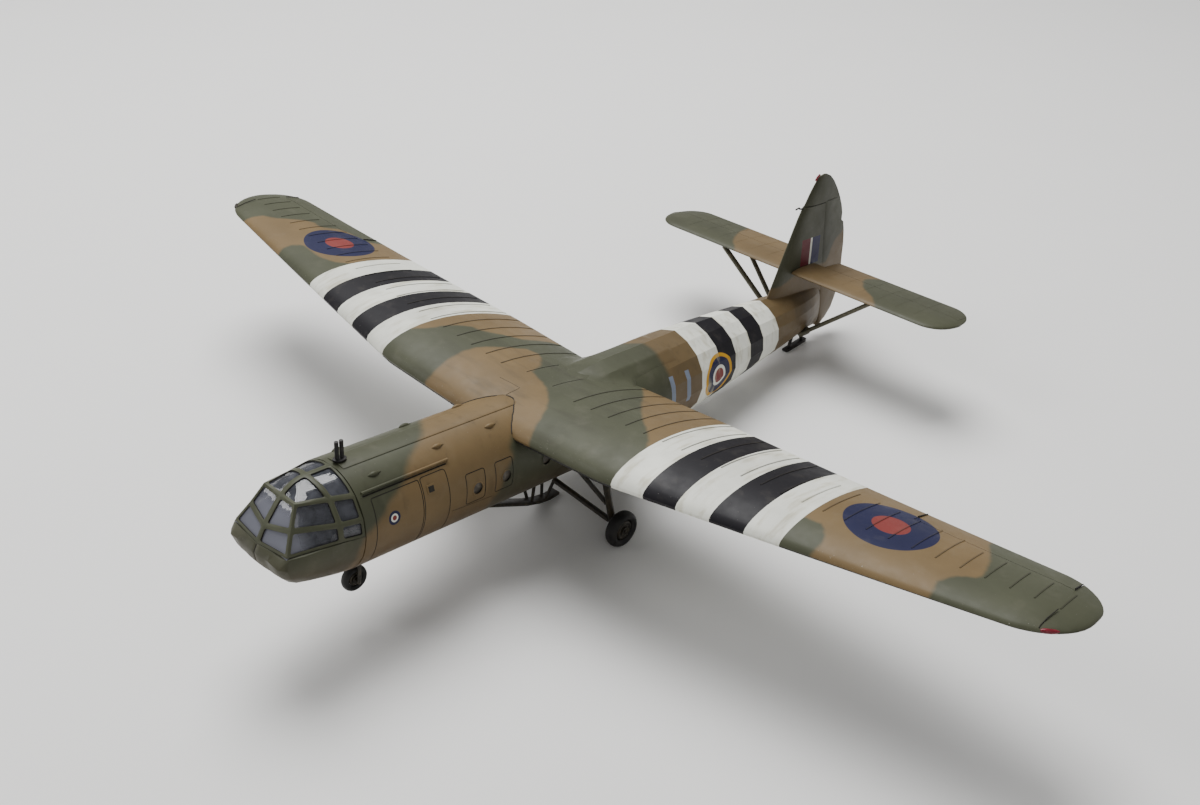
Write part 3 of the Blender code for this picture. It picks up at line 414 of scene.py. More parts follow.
# The seam paint is a dark wash with painted shade: it lines grooves, cuts, gaps, joints, pane edges and the
# door window.
seam_wash_and_shade = plain_paint("seam_shadow", (0.012, 0.010, 0.007), (0.024, 0.020, 0.014), 0.7)
lamp_red = plain_paint("lamp_red_paint", (0.17, 0.012, 0.022), (0.10, 0.008, 0.014), 0.25)
frame_paint = sprayed("canopy_frame_paint", "plain")
strut_paint = plain_paint("tail_strut_paint", (0.085, 0.082, 0.055), (0.13, 0.115, 0.08), 0.45)
port_glass = plain_paint("porthole_glass", (0.055, 0.047, 0.037), (0.13, 0.112, 0.09), 0.4, 1.6,
                         Specular_IOR_Level=0.5)
glass = Paint("canopy_clear", (0.055, 0.058, 0.072), 0.06, Alpha=0.3, IOR=1.5, Specular_IOR_Level=1.0)
fogged = glass.step(glass.y, -129.5, -134.0)
glass.coat((0.12, 0.125, 0.15), glass.patches(2.2, 4.0, 0.35, 0.7))
glass.coat((0.19, 0.195, 0.235), fogged)
glass_paint = glass.finish(glass.math("MULTIPLY_ADD", glass.noise(1.2, 4.0), 0.03, 0.01))
glass.tree.links.new(glass.math("MULTIPLY_ADD", fogged, 0.27, 0.45), glass.shader.inputs["Alpha"])
sheet = Paint("floor_sheet", (0.80, 0.795, 0.78), 0.7)
sheet.coat((0.825, 0.82, 0.805), sheet.noise(60.0, 4.0))
floor.data.materials.append(sheet.finish(None, sheet.noise(1.5, 3.0), 0.05))
print("paints in all:", len(bpy.data.materials))

# %% [markdown]
# ## Outlines of the brown patches
# The outlines are measured on the wing in plan, on the body as if its skin were unrolled, and on
# the fin in side view. A curve through a few points gives the same easy sweep as a spray gun.

# %% Outlines
WING_BROWN = (
    ((-25.0, -62), (-28.1, -52.2), (-28.9, -47.5), (-29.2, -40), (-28, -32.3), (-24.1, -24.8), (-19.6, -16.4),
     (-13.2, -18.4), (-8.5, -24.6), (-6.6, -29.8), (-1.1, -30.8), (5.8, -35.1), (11.1, -40.2), (14.6, -45.4),
     (16.3, -50), (17.2, -62)),
    ((-60, -42), (-49, -41), (-44.8, -30.4), (-41.5, -24.4), (-36.5, -23.3), (-32.2, -16.9), (-28, -12.7),
     (-25.3, 0.8), (-18.3, 9), (-60, 12)),
    ((-96, 14), (-117, 9), (-120.7, -5.5), (-127.7, -7.1), (-134.4, -9.1), (-137.9, -15.8), (-143.9, -15.9),
     (-152.1, -27.1), (-158.2, -31.8), (-160, -50), (-129, -50), (-130.3, -39.3), (-129.4, -35.3),
     (-125.7, -32.6), (-116.7, -33.7), (-107.5, -31.8), (-101.9, -25.5), (-94, -20)),
    ((13, 12), (24.9, -9.8), (33.4, -21.1), (40.7, -28.6), (46.5, -33.4), (50.8, -38.9), (60, -44), (62, 12)),
    ((94, -33), (104.2, -34.7), (109.1, -34.3), (112.1, -36.9), (113.5, -40.7), (115, -55), (146, -55),
     (145.1, -38.2), (144.4, -34.5), (145.9, -30.5), (148.7, -27.1), (151.4, -24.9), (150.7, -20.3),
     (149.1, -14.4), (146.8, -9.1), (143.6, -2.4), (141, 12), (94, 14)),
)
TAIL_BROWN = (
    ((-30, 98), (-25.6, 103.5), (-32.1, 111.5), (-36.6, 121.2), (-39.4, 132), (-42, 142), (24, 142),
     (23.3, 125.2), (26, 119.2), (30, 113.5), (35.4, 110.3), (43.4, 100.3), (46, 96)),
)
FIN_BROWN = (
    ((80, 47), (98.4, 48.9), (106.5, 51.7), (110.9, 54.0), (120, 53.5), (129.6, 53.2), (132.1, 55.2),
     (132.9, 59.3), (134.6, 61.3), (139.4, 63.7), (152, 66), (152, 10), (80, 10)),
)
BODY_BROWN = (
    ((-150, 60), (-126, 44), (-118.5, 35), (-116.9, 28.5), (-114.9, 24.3), (-111.6, 22.8), (-107.9, 20.1),
     (-105.3, 17.3), (-101.4, 15.6), (-97.7, 12.6), (-93.4, 8.4), (-90.1, 6.1), (-85.6, 3.5), (-82.4, 0.5),
     (-77.5, -6.1), (-73, -12), (-76, -18), (-84, -24), (-92, -34), (-100, -60), (-34, -60), (-36, -30),
     (-38, -18), (-40, -6), (-44, 5), (-52, 10.5), (-56.6, 13.9), (-58.6, 16.7), (-58.1, 19.1), (-60.4, 21.7),
     (-62.8, 24.3), (-63.2, 27.8), (-66, 34), (-72, 60)),
    ((20, 60), (19.5, 28), (19.3, 17.1), (19.1, 12.9), (19.1, 7.7), (19.2, 1.1), (16.1, -4.6), (14.2, -8.9),
     (9, -15), (7, -22), (12, -32), (16, -60), (150, -60), (150, 60)),
)


def swept(outline, steps=6):
    """A closed smooth curve through the points of an outline."""
    points = np.array(outline, float)
    before, after, later = (np.roll(points, shift, 0) for shift in (1, -1, -2))
    out = []
    for t in np.arange(steps) / steps:
        out.append(0.5 * (2 * points + (after - before) * t
                          + (2 * before - 5 * points + 4 * after - later) * t**2
                          + (3 * points - before - 3 * after + later) * t**3))
    return np.stack(out, 1).reshape(-1, 2)


def inside_by(points, outlines):
    """How far each point lies inside the nearest outline; outside counts minus."""
    best = np.full(len(points), -99.0)
    for outline in outlines:
        first = swept(outline)
        step = np.roll(first, -1, 0) - first
        gap = points[:, None] - first
        share = np.clip((gap * step).sum(2) / np.maximum((step * step).sum(1), 1e-9), 0, 1)
        far = np.sqrt(((gap - share[..., None] * step) ** 2).sum(2)).min(1)
        a, b = gap[..., 1], gap[..., 1] - step[:, 1]
        with np.errstate(divide="ignore", invalid="ignore"):
            cross = gap[..., 0] - step[:, 0] * (a / step[:, 1])
        hits = ((a < 0) != (b < 0)) & (cross < 0)
        far[hits.sum(1) % 2 == 0] *= -1
        best = np.maximum(best, far)
    return best


def unrolled(co):
    """Body skin as a flat sheet: how far aft, and how far round from the crown, port side plus."""
    half, top, low = [np.interp(co[:, 1], BODY_Y, column) for column in (BODY_HALF, BODY_TOP, BODY_LOW)]
    mid, tall = 0.5 * (top + low), 0.5 * (top - low)
    return np.stack([co[:, 1], BODY_R * np.arctan2(co[:, 0] / half, (co[:, 2] - mid) / tall)], 1)


def spray(ob, view):
    """Stores the camouflage distance and the underside share on a skin drawn in level millimetres."""
    mesh = ob.data
    co = np.empty(len(mesh.vertices) * 3)
    mesh.vertices.foreach_get("co", co)
    co = co.reshape(-1, 3)
    if view == "body":
        points, outlines = unrolled(co), BODY_BROWN
    elif view == "fin":
        points, outlines = co[:, 1:], FIN_BROWN
    else:
        points, outlines = co[:, :2], WING_BROWN if view == "wing" else TAIL_BROWN
    marks = {"brown": inside_by(points, outlines), "under": np.array([-v.normal.z for v in mesh.vertices])}
    if view == "body":
        marks["girth"] = points[:, 1]
    for name, numbers in marks.items():
        mark = mesh.attributes.get(name) or mesh.attributes.new(name, "FLOAT", "POINT")
        mark.data.foreach_set("value", numbers.astype(np.float32))
    if "line" not in mesh.attributes:
        mesh.attributes.new("line", "FLOAT", "POINT")


# %% [markdown]
# ## Settling a finished piece
# A finished skin is in level millimetres. Its mesh is scaled to metres and tipped back by the stance, and
# the piece is hung on the body it rides on, while the solids it stands for are hidden.


# %% Finishing helpers
def settle(ob, mat, stands_for=(), body="airframe", angle=32.0):
    """Gives a piece its paint, smooth shading and place, and hides the solids it stands for."""
    alone(ob)
    if not ob.data.materials:
        ob.data.materials.append(mat)
    ob.data.materials[0] = mat
    bpy.ops.object.shade_smooth_by_angle(angle=math.radians(angle))
    ob.data.transform(SETTLE)
    ob.data.update()
    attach(ob, body)
    if stands_for:
        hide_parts(*stands_for)
    return ob


def apply(ob, kind, **settings):
    """Adds a modifier and applies it."""
    alone(ob)
    mod = ob.modifiers.new(kind.lower(), kind)
    for key, value in settings.items():
        setattr(mod, key, value)
    bpy.ops.object.modifier_apply(modifier=mod.name)
    return ob


def soften(ob, width, angle):
    """Bevels the edges that are sharper than an angle."""
    apply(ob, "BEVEL", width=width, segments=2, limit_method="ANGLE", angle_limit=math.radians(angle))


def cut(ob, cutter, operation="DIFFERENCE"):
    """Cuts one solid with another, whose paint lines the cut; the first slot stays the skin's."""
    if not ob.data.materials:
        ob.data.materials.append(gear_paint)
    apply(ob, "BOOLEAN", object=cutter, operation=operation, solver="EXACT", material_mode="TRANSFER")
    bpy.data.objects.remove(cutter, do_unlink=True)


def tube(name, points, radius, closed=False, sides=0, taper=None):
    """A tube with closed ends along a path, as a mesh."""
    curve = bpy.data.curves.new(name, "CURVE")
    curve.dimensions, curve.bevel_depth, curve.bevel_resolution = "3D", radius, sides
    curve.use_fill_caps = True
    line = curve.splines.new("POLY")
    line.points.add(len(points) - 1)
    for k, (point, co) in enumerate(zip(line.points, points)):
        point.co = (*co, 1.0)
        point.radius = taper[k] if taper else 1.0
    line.use_cyclic_u = closed
    ob = bpy.data.objects.new(name, curve)
    bpy.context.collection.objects.link(ob)
    alone(ob)
    bpy.ops.object.convert(target="MESH")
    return start(name)


def groove(ob, paths, radius=0.2, closed=False):
    """Engraves lines: thin tubes laid along the paths are cut out of the skin, and the dark seam paint they
    leave on the groove walls is wash and painted shade.
    """
    for path in paths:
        tool = tube("seam", path, radius, closed)
        tool.data.materials.clear()
        tool.data.materials.append(seam_wash_and_shade)
        cut(ob, tool)


def bead(name, points, radius, mat, view="", closed=False, sides=2, taper=None):
    """A round bead along a path, painted and settled."""
    ob = tube(name, points, radius, closed, sides, taper)
    if view:
        spray(ob, view)
    return settle(ob, mat, angle=50.0)


def joined(name, pieces):
    """Joins finished pieces into one."""
    alone(pieces[0])
    for piece in pieces[1:]:
        piece.select_set(True)
    bpy.ops.object.join()
    start(name)


def twin(ob, name):
    """A copy of a piece under a new name."""
    alone(ob)
    bpy.ops.object.duplicate()
    return start(name)


def outward(ob):
    """Merges doubles and turns every face outwards."""
    edit(ob)
    bpy.ops.mesh.remove_doubles(threshold=0.0005)
    bpy.ops.mesh.normals_make_consistent(inside=False)
    done()
    return ob


# %% [markdown]
# ## Wing skins
# A wing is one section carried outboard: it gets shorter and thinner, rises, and rounds off at the
# tip. No primitive has that section, so the points of a circle are moved onto it, and the section
# is then extruded from rib to rib. Each rib is a narrow strip between two close stations, and its
# faces are extruded by a hair, which gives the raised rib lines that catch the light.

# %% Wing measures
WING_TE, TE_SWEEP = 3.4, -0.0421
WING_Z, RISE, BOW = 37.07, 0.0624, 0.000097
TIP_X, END_X = 164.8, 179.8
WING_RIBS = (23.8, 31.0, 38.1, 45.2, 52.2, 59.0, 66.0, 72.8, 79.4, 86.0, 92.6, 99.2, 105.8, 112.3, 118.9,
             125.4, 132.1, 138.8, 145.6, 152.3, 158.9, 165.3, 171.8)
RIB_HALF, RIB_HEIGHT = 0.17, 0.14
CAMBER, SECTION_STEPS = 0.04, 17
AILERON_FROM, AILERON_TO, AILERON_SHARE = 123.6, 170.4, 0.79
CENTRE_HALF = 17.1
SIDES = (("left", 1), ("right", -1))


def wing_row(x):
    """Leading edge, trailing edge, chord height and thickness ratio at one station."""
    x = abs(x)
    out = max(0.0, x - WING_BREAK)
    le, te = WING_LE + LE_SWEEP * out, WING_TE + TE_SWEEP * out
    share = min(1.0, out / (TIP_X - WING_BREAK))
    z = WING_Z + RISE * x + BOW * out * out
    thick = 0.175 - 0.065 * share
    if x > TIP_X:
        s = (x - TIP_X) / (END_X - TIP_X)
        mid, keep = le + 0.55 * (te - le), 0.12 + 0.88 * math.sqrt(max(0.0, 1 - s * s))
        le, te = mid + (le - mid) * keep, mid + (te - mid) * keep
        thick *= 1.0 - 0.25 * s
        z -= 0.6 * s * s
    return le, te, z, thick


def section(le, te, thick, camber, count=SECTION_STEPS, edge=0.3):
    """A closed wing section as (y, z) points: back along the top, then forward along the bottom."""
    upper, lower = [], []
    for k in range(count + 1):
        u = 0.5 * (1 - math.cos(math.pi * k / count))
        t = 5 * thick * (0.2969 * math.sqrt(u) - 0.126 * u - 0.3516 * u**2 + 0.2843 * u**3 - 0.1036 * u**4)
        mean, half = camber * 4 * u * (1 - u) * (te - le), t * (te - le) + edge * u
        upper.append((le + (te - le) * u, mean + half))
        lower.append((le + (te - le) * u, mean - half))
    return list(reversed(upper)) + lower[1:]


def between(value, xs, ys):
    """The height of a line through points."""
    return float(np.interp(value, xs, ys))


def upper_z(x, y):
    """Height of the wing's upper skin."""
    le, te, z, thick = wing_row(x)
    ys, zs = zip(*reversed(section(le, te, thick, CAMBER)[:SECTION_STEPS + 1]))
    return z + between(y, ys, zs)


def on_wing(points, lift=0.0, side=1):
    """Plan points laid on the wing's upper skin."""
    return [(side * x, y, upper_z(x, y) + lift) for x, y in points]


# %% Extruding a section
def ring(name, points):
    """A filled circle whose points are moved onto a closed outline."""
    bpy.ops.mesh.primitive_circle_add(vertices=len(points), radius=10.0, fill_type="NGON")
    ob = start(name)
    for vertex, co in zip(ob.data.vertices, points):
        vertex.co = co
    return ob


def loft(name, points, rows):
    """Extrudes an outline through rows of (anchor, size); each new end is moved and scaled."""
    ob = ring(name, points)
    edit(ob)
    for (place, size), (new_place, new_size) in zip(rows, rows[1:]):
        shift = [b - a for a, b in zip(place, new_place)]
        bpy.ops.mesh.extrude_region_move(TRANSFORM_OT_translate={"value": shift})
        bpy.ops.transform.resize(value=[b / a for a, b in zip(size, new_size)], center_override=new_place)
    done()
    return outward(ob)


def tip_steps(start_x, end_x):
    """Stations that crowd towards a round tip."""
    return [start_x + (end_x - start_x) * math.sin(math.pi / 2 * k / 10) for k in range(11)]


def raise_ribs(ob, ribs):
    """Extrudes the narrow strips between rib stations and marks them for the dark wash."""
    def on_rib(centre, _):
        x = abs(centre.x)
        near = min((abs(r) for r in ribs), key=lambda r: abs(r - x))
        front = -35.2 + 0.113 * max(0.0, x - 60.0)
        rear = -8.2 - 0.03 * (x - 90.0) if x > 86.0 else 99.0
        return abs(x - near) < RIB_HALF and front < centre.y < min(rear, wing_row(x)[1] - 1.2)

    edit(ob, on_rib)
    bpy.ops.mesh.extrude_region_shrink_fatten(TRANSFORM_OT_shrink_fatten={"value": RIB_HEIGHT})
    mesh = bmesh.from_edit_mesh(ob.data)
    line = mesh.verts.layers.float.new("line")
    for face in mesh.faces:
        if face.select:
            for vertex in face.verts:
                vertex[line] = 1.0 if abs(vertex.co.x) < 86.0 else 0.6
    bmesh.update_edit_mesh(ob.data)
    done()


def wing_skin(name, side, x_from, x_to, ribs):
    """A wing between two stations, with its raised ribs."""
    tip = [x for x in tip_steps(TIP_X, END_X) if x_from < x < x_to]
    edges = [x + d for x in ribs for d in (-RIB_HALF, RIB_HALF) if x_from < x + d < x_to]
    middles = [x for x in np.arange(x_from, x_to, 3.4) if all(abs(x - e) > 1.0 for e in edges)]
    wanted = sorted({x_from, x_to, *edges, *middles, *tip})
    rows = []
    for i, x in enumerate(wanted):
        if i == 0 or x - wanted[i - 1] > 0.02:
            le, te, z, thick = wing_row(x)
            rows.append(((side * x, le, z), (1.0, te - le, (te - le) * thick)))
    le, te, z, thick = wing_row(wanted[0])
    ob = loft(name, [(side * wanted[0], y, z + h) for y, h in section(le, te, thick, CAMBER)], rows)
    raise_ribs(ob, ribs)
    return ob


# %% Both wings and ailerons
def block(plan, low, high):
    """A prism over a plan outline, to cut with."""
    ob = ring("room", [(x, y, low) for x, y in plan])
    edit(ob)
    bpy.ops.mesh.extrude_region_move(TRANSFORM_OT_translate={"value": (0.0, 0.0, high - low)})
    done()
    ob.data.materials.append(seam_wash_and_shade)
    return outward(ob)


def aileron_block(side, gap):
    """The room of an aileron, wider or narrower by a gap."""
    x0, x1 = AILERON_FROM + 2 * gap, AILERON_TO - 2 * gap
    plan = []
    for x in (x0, x1):
        le, te = wing_row(x)[:2]
        plan.append((side * x, le + AILERON_SHARE * (te - le) + gap))
    return block(plan + [(side * x1, 14.0), (side * x0, 14.0)], 30.0, 70.0)


AILERON_LINE = [(x, -6.9 - 0.02 * (x - 88.0)) for x in np.linspace(88.0, 122.4, 12)]
for label, side in SIDES:
    wing = wing_skin("wing_skin_" + label, side, CENTRE_HALF, END_X, WING_RIBS)
    aileron = twin(wing, "aileron_skin_" + label)
    cut(aileron, aileron_block(side, 0.06), "INTERSECT")
    cut(wing, aileron_block(side, -0.06))
    groove(wing, [on_wing(AILERON_LINE, 0.03, side)], 0.1)
    for piece, node in ((wing, "wing_" + label), (aileron, "aileron_" + label)):
        spray(piece, "wing")
        settle(piece, wing_paint, [node])
        print(piece.name, len(piece.data.polygons), "faces")

# %% Wing tip joints and aileron slots
WING_LINES = (((171.1, -32.0), (171.0, -31.0), (171.2, -28.0), (171.6, -23.0)), 0.14), \
             (((123.6, -6.4), (123.6, -4.0), (123.6, -2.0), (123.6, -0.2)), 0.2), \
             (((170.4, -9.2), (170.4, -7.0), (170.4, -5.0), (170.4, -3.2)), 0.16)
for label, side in SIDES:
    joined("wing_joint_lines_" + label, [bead("line", on_wing(points, 0.0, side), radius, seam_wash_and_shade)
                                         for points, radius in WING_LINES])
print("wing lines:", len(WING_LINES), "on each side")

# %% Centre section
SEAMS = [[(x, y) for y in np.linspace(-31.0, -15.5, 8)] for x in (-7.8, 4.0)]
FINE_SEAMS = ((-10.3, -40.7), (-6.0, -40.2), (-1.7, -39.9)), ((-1.7, -40.3), (-1.9, -43.5), (-2.0, -46.9))
centre = wing_skin("wing_centre_skin", 1, -CENTRE_HALF, CENTRE_HALF, (-16.5, 16.5))
for seams, radius in ((SEAMS, 0.2), (FINE_SEAMS, 0.12)):
    groove(centre, [on_wing(points, 0.04) for points in seams], radius)
spray(centre, "wing")
settle(centre, wing_paint, ["wing_centre"])
print("wing centre:", len(centre.data.polygons), "faces")

# %% [markdown]
# ## Body skin
# The body is a tube of plywood: round in front, and behind the wing built from flat strips, which
# the model shows as narrow facets. A circle of 64 points is extruded from frame to frame and
# scaled; behind the wing its points are pulled onto 16 flats. The wall gets its thickness before
# the portholes are cut, so that they show a rim. Doors are engraved outlines, as on the model.

# %% Body measures
BODY_Y = (-115.0, -5.0, 10.0, 25.0, 40.0, 60.0, 80.0, 100.0, 112.0, 121.0, 127.0, 131.6)
BODY_HALF = (16.6, 16.6, 16.6, 16.4, 15.8, 14.2, 12.4, 10.5, 8.9, 6.4, 4.1, 2.3)
BODY_TOP = (43.35, 43.35, 43.8, 44.7, 45.2, 45.0, 44.6, 44.1, 43.8, 43.6, 43.5, 43.4)
BODY_LOW = (10.15, 10.15, 10.6, 11.9, 13.6, 16.6, 19.8, 22.9, 24.6, 24.6, 24.4, 24.2)
BODY_R, ROUND, FLATS, WALL, RIDGE_LIFT = 16.6, 64, 16, 1.1, 0.7
FLAT_TURN = 2 * math.pi / FLATS


def clamp(value):
    """A number held between 0 and 1."""
    return min(1.0, max(0.0, value))


def body_row(y):
    """Half width, middle height and half height of the body at one frame."""
    half, top, low = [between(y, BODY_Y, column) for column in (BODY_HALF, BODY_TOP, BODY_LOW)]
    return half, 0.5 * (top + low), 0.5 * (top - low)


def shape_frame(ob, y):
    """Pulls the newest frame onto flats with a ridge on the crown, and rakes the stern post."""
    half, mid, tall = body_row(y)
    flat, rake = clamp((y - 15.0) / 10.0), 0.215 * clamp((y - 126.6) / 5.0)
    mesh = bmesh.from_edit_mesh(ob.data)
    for v in mesh.verts:
        if v.select:
            turn = math.atan2(v.co.x / half, (v.co.z - mid) / tall)
            part = turn % FLAT_TURN - math.pi / FLATS
            pull = 1.0 + flat * (math.cos(math.pi / FLATS) / math.cos(part) - 1.0)
            v.co.x *= pull
            v.co.z = mid + (v.co.z - mid) * pull
            ridge = RIDGE_LIFT * flat * max(0.0, 1.0 - abs(turn) / FLAT_TURN)
            v.co.z = min(v.co.z, mid + tall - 0.3 + 0.3 * flat) + ridge
            v.co.y -= rake * (v.co.z - 34.0)
    bmesh.update_edit_mesh(ob.data)


def body_point(y, v, lift=0.0):
    """A point on the body skin, given as on the unrolled sheet."""
    half, mid, tall = body_row(y)
    turn = v / BODY_R
    return ((half + lift) * math.sin(turn), y, mid + (tall + lift) * math.cos(turn))


def around(y, z, side=1):
    """How far round from the crown a height lies on one side of the body."""
    _, mid, tall = body_row(y)
    return side * BODY_R * math.acos(max(-1.0, min(1.0, (z - mid) / tall)))


def on_body(points, lift=0.0, side=1):
    """Side view points laid on the body skin."""
    return [body_point(y, around(y, z, side), lift) for y, z in points]


# %% Body skin
def body_skin():
    """The tube from the canopy to the stern post."""
    at = BODY_Y[0]
    bpy.ops.mesh.primitive_circle_add(vertices=ROUND, radius=BODY_R, fill_type="NOTHING",
                                      rotation=(math.pi / 2, 0.0, 0.0), location=(0.0, at, 26.75))
    ob = start("body_skin")
    bpy.ops.object.transform_apply(location=True, rotation=True, scale=True)
    edit(ob)
    shape_frame(ob, at)
    for y in [*np.arange(-111.0, 10.0, 4.0), *np.arange(10.0, 126.0, 3.0), 127.0, 129.5, 131.6]:
        half, mid, tall = body_row(at)
        new_half, new_mid, new_tall = body_row(y)
        bpy.ops.mesh.extrude_region_move(TRANSFORM_OT_translate={"value": (0.0, y - at, 0.0)})
        mesh = bmesh.from_edit_mesh(ob.data)
        for v in mesh.verts:
            if v.select:
                step = round(math.atan2(v.co.x / half, (v.co.z - mid) / tall) * ROUND / (2 * math.pi))
                turn = 2 * math.pi * step / ROUND
                v.co = (new_half * math.sin(turn), y, new_mid + new_tall * math.cos(turn))
        bmesh.update_edit_mesh(ob.data)
        shape_frame(ob, y)
        at = y
    bpy.ops.mesh.edge_face_add()
    done()
    outward(ob)
    return apply(ob, "SOLIDIFY", thickness=WALL, offset=-1.0, use_even_offset=True)


def panel(y0, y1, z0, z1, corner=1.3, side=1):
    """A rounded outline on the side of the body."""
    v0, v1 = sorted(abs(around(0.5 * (y0 + y1), z, side)) for z in (z0, z1))
    path = []
    for cy, cv, turn in ((y1 - corner, v0 + corner, -90), (y1 - corner, v1 - corner, 0),
                         (y0 + corner, v1 - corner, 90), (y0 + corner, v0 + corner, 180)):
        for k in range(5):
            a = math.radians(turn + 22.5 * k)
            path.append((cy + corner * math.cos(a), cv + corner * math.sin(a)))
    dense = []
    for (ya, va), (yb, vb) in zip(path, path[1:] + path[:1]):
        steps = max(1, int(math.hypot(yb - ya, vb - va) / 1.5))
        dense += [(ya + (yb - ya) * k / steps, va + (vb - va) * k / steps) for k in range(steps)]
    return [body_point(y, side * v, 0.03) for y, v in dense]


body = body_skin()
print("body skin:", len(body.data.polygons), "faces")

# %% Portholes, doors and seams
PORTHOLE_Y = (-73.3, -61.4, -44.0, -23.0)
PORTHOLE_Z, PORTHOLE_R = 28.2, 2.0


def round_bar(name, length, radius, place):
    """A cylinder laid along X through a place."""
    bpy.ops.mesh.primitive_cylinder_add(vertices=32, radius=radius, depth=length, location=place,
                                        rotation=(0.0, math.pi / 2, 0.0))
    ob = start(name)
    bpy.ops.object.transform_apply(location=True, rotation=True, scale=True)
    ob.data.materials.append(seam_wash_and_shade)
    return ob


for y in PORTHOLE_Y:
    cut(body, round_bar("porthole_drill", 60.0, PORTHOLE_R, (0.0, y, PORTHOLE_Z)))
HATCHES = (-77.7, -70.2, 24.0, 33.7, 0.8), (-65.9, -58.7, 24.0, 33.7, 0.8)
PORT_DOORS = (-111.2, -94.3, 14.5, 37.1, 0.6), (-93.7, -84.3, 14.5, 37.3, 1.0)
STAR_DOOR = 22.0, 32.0, 18.0, 38.0, 1.3
port_panels = [panel(*row) for row in (*PORT_DOORS, *HATCHES)]
star_panels = [panel(*row, side=-1) for row in (STAR_DOOR, *HATCHES)]
groove(body, port_panels + star_panels, closed=True)
groove(body, [on_body([(y, 23.9 - 0.065 * (y + 83.2)) for y in np.linspace(-83.2, -66.5, 10)], 0.03)], 0.13)
groove(body, [on_body([(y, 38.1) for y in np.linspace(-113.2, -83.0, 16)])], 0.3)
spray(body, "body")
settle(body, body_paint, ["body_left", "body_right", "door_freight", "door_side", "door_starboard"],
       angle=14.0)
print("body done:", len(body.data.polygons), "faces")


# %% The joint between wing and body
def joint_x(y):
    """Where the wing's upper skin leaves the round body at one station, or None above the crown."""
    half, mid, tall = body_row(y)
    for x in np.arange(0.2, half, 0.1):
        if mid + tall * math.sqrt(1 - (x / half) ** 2) < upper_z(x, y):
            return x
    return None


joint = []
for y in np.arange(-55.6, -44.0, 0.25):
    x = joint_x(y)
    if x is None or x < 0.3:
        break
    joint.append((x, y, upper_z(x, y) + 0.02))
print("wing joint:", len(joint), "points, from", [round(c, 1) for c in joint[0]], "to",
      [round(c, 1) for c in joint[-1]])
joint = joint + [(-x, y, z) for x, y, z in reversed(joint)]
bead("wing_body_joint", joint, 0.2, seam_wash_and_shade)

# %% [markdown]
# ## Fillet behind the wing
# Behind the crest of the wing the ridge of the rear body rises out of it in one easy sweep. A grid
# over that area takes the greater of the two heights at each point, with the corner between them
# rounded, and its border is sunk so that it melts into both skins.

# %% Root fillet
RIDGE_Y, RIDGE_Z = (-17.0, -13.0, -9.0, -3.0, 6.0, 28.0), (42.3, 43.2, 44.0, 44.7, 45.1, 45.5)
FILLET_X, FILLET_ROWS, FILLET_CUT = ((-1.0, 3.0), (15.4, 11.0)), 44, 2.9


def fillet_z(x, y):
    """The rounded greater of wing height and ridged body height."""
    half, mid, tall = body_row(y)
    lift = between(y, RIDGE_Y, RIDGE_Z) - mid - tall
    corners = [(math.radians(22.5 * k), share) for k, share in enumerate((1.0, 0.7, 0.3, 0.0))]
    second = between(abs(x), [half * math.sin(a) for a, _ in corners],
                     [mid + tall * math.cos(a) + lift * share for a, share in corners])
    first = upper_z(x, min(y, FILLET_CUT)) - 2.0 * max(0.0, y - FILLET_CUT)
    return 0.5 * (first + second + math.hypot(first - second, between(y, (-16, -6), (0.9, 2.0))))


bpy.ops.mesh.primitive_grid_add(x_subdivisions=FILLET_ROWS, y_subdivisions=FILLET_ROWS, size=2.0)
fillet = start("wing_root_fillet")
for vertex in fillet.data.vertices:
    u, y = vertex.co.x, RIDGE_Y[0] + (RIDGE_Y[-1] - RIDGE_Y[0]) * (vertex.co.y + 1) / 2
    x = u * between(y, *FILLET_X)
    sink = 0.12 + 0.5 * clamp((max(abs(u), abs(vertex.co.y)) - 0.86) / 0.14)
    vertex.co = (x, y, fillet_z(x, y) - sink)
apply(fillet, "SOLIDIFY", thickness=0.5, offset=-1.0)
outward(fillet)
spray(fillet, "body")
settle(fillet, body_paint, angle=18.0)
print("root fillet:", len(fillet.data.polygons), "faces")

# %% Portholes' rims, slide rail, blisters and window
panes, rims, blisters = [], [], []
for side in (1, -1):
    for y in PORTHOLE_Y:
        pane = round_bar("pane", 0.5, PORTHOLE_R + 0.1, (side * (body_row(y)[0] - 0.75), y, PORTHOLE_Z))
        panes.append(settle(pane, port_glass))
        turns = [2 * math.pi * k / 28 for k in range(28)]
        loop = [(y + PORTHOLE_R * math.cos(a), PORTHOLE_Z + PORTHOLE_R * math.sin(a)) for a in turns]
        rims.append(bead("rim", on_body(loop, 0.02, side), 0.2, body_paint, "body", True))
joined("porthole_rims", rims)
joined("porthole_panes", panes)
rail = on_body([(y, 38.8) for y in np.linspace(-113.4, -82.0, 16)], 0.35)
bead("door_slide_rail", rail, 0.42, body_paint, "body")
BLISTER = (0.1, 0.55, 0.85, 1.0, 0.98, 0.85, 0.6, 0.3, 0.05)
for y, v in ((-106.2, 8.6), (-82.3, 7.7), (-61.3, 7.7)):
    for side in (1, -1):
        path = [body_point(y + 2.3 * (k / 4 - 1), side * v, 0.05) for k in range(9)]
        blisters.append(bead("blister", path, 0.8, body_paint, "body", sides=3, taper=BLISTER))
joined("crown_blisters", blisters)


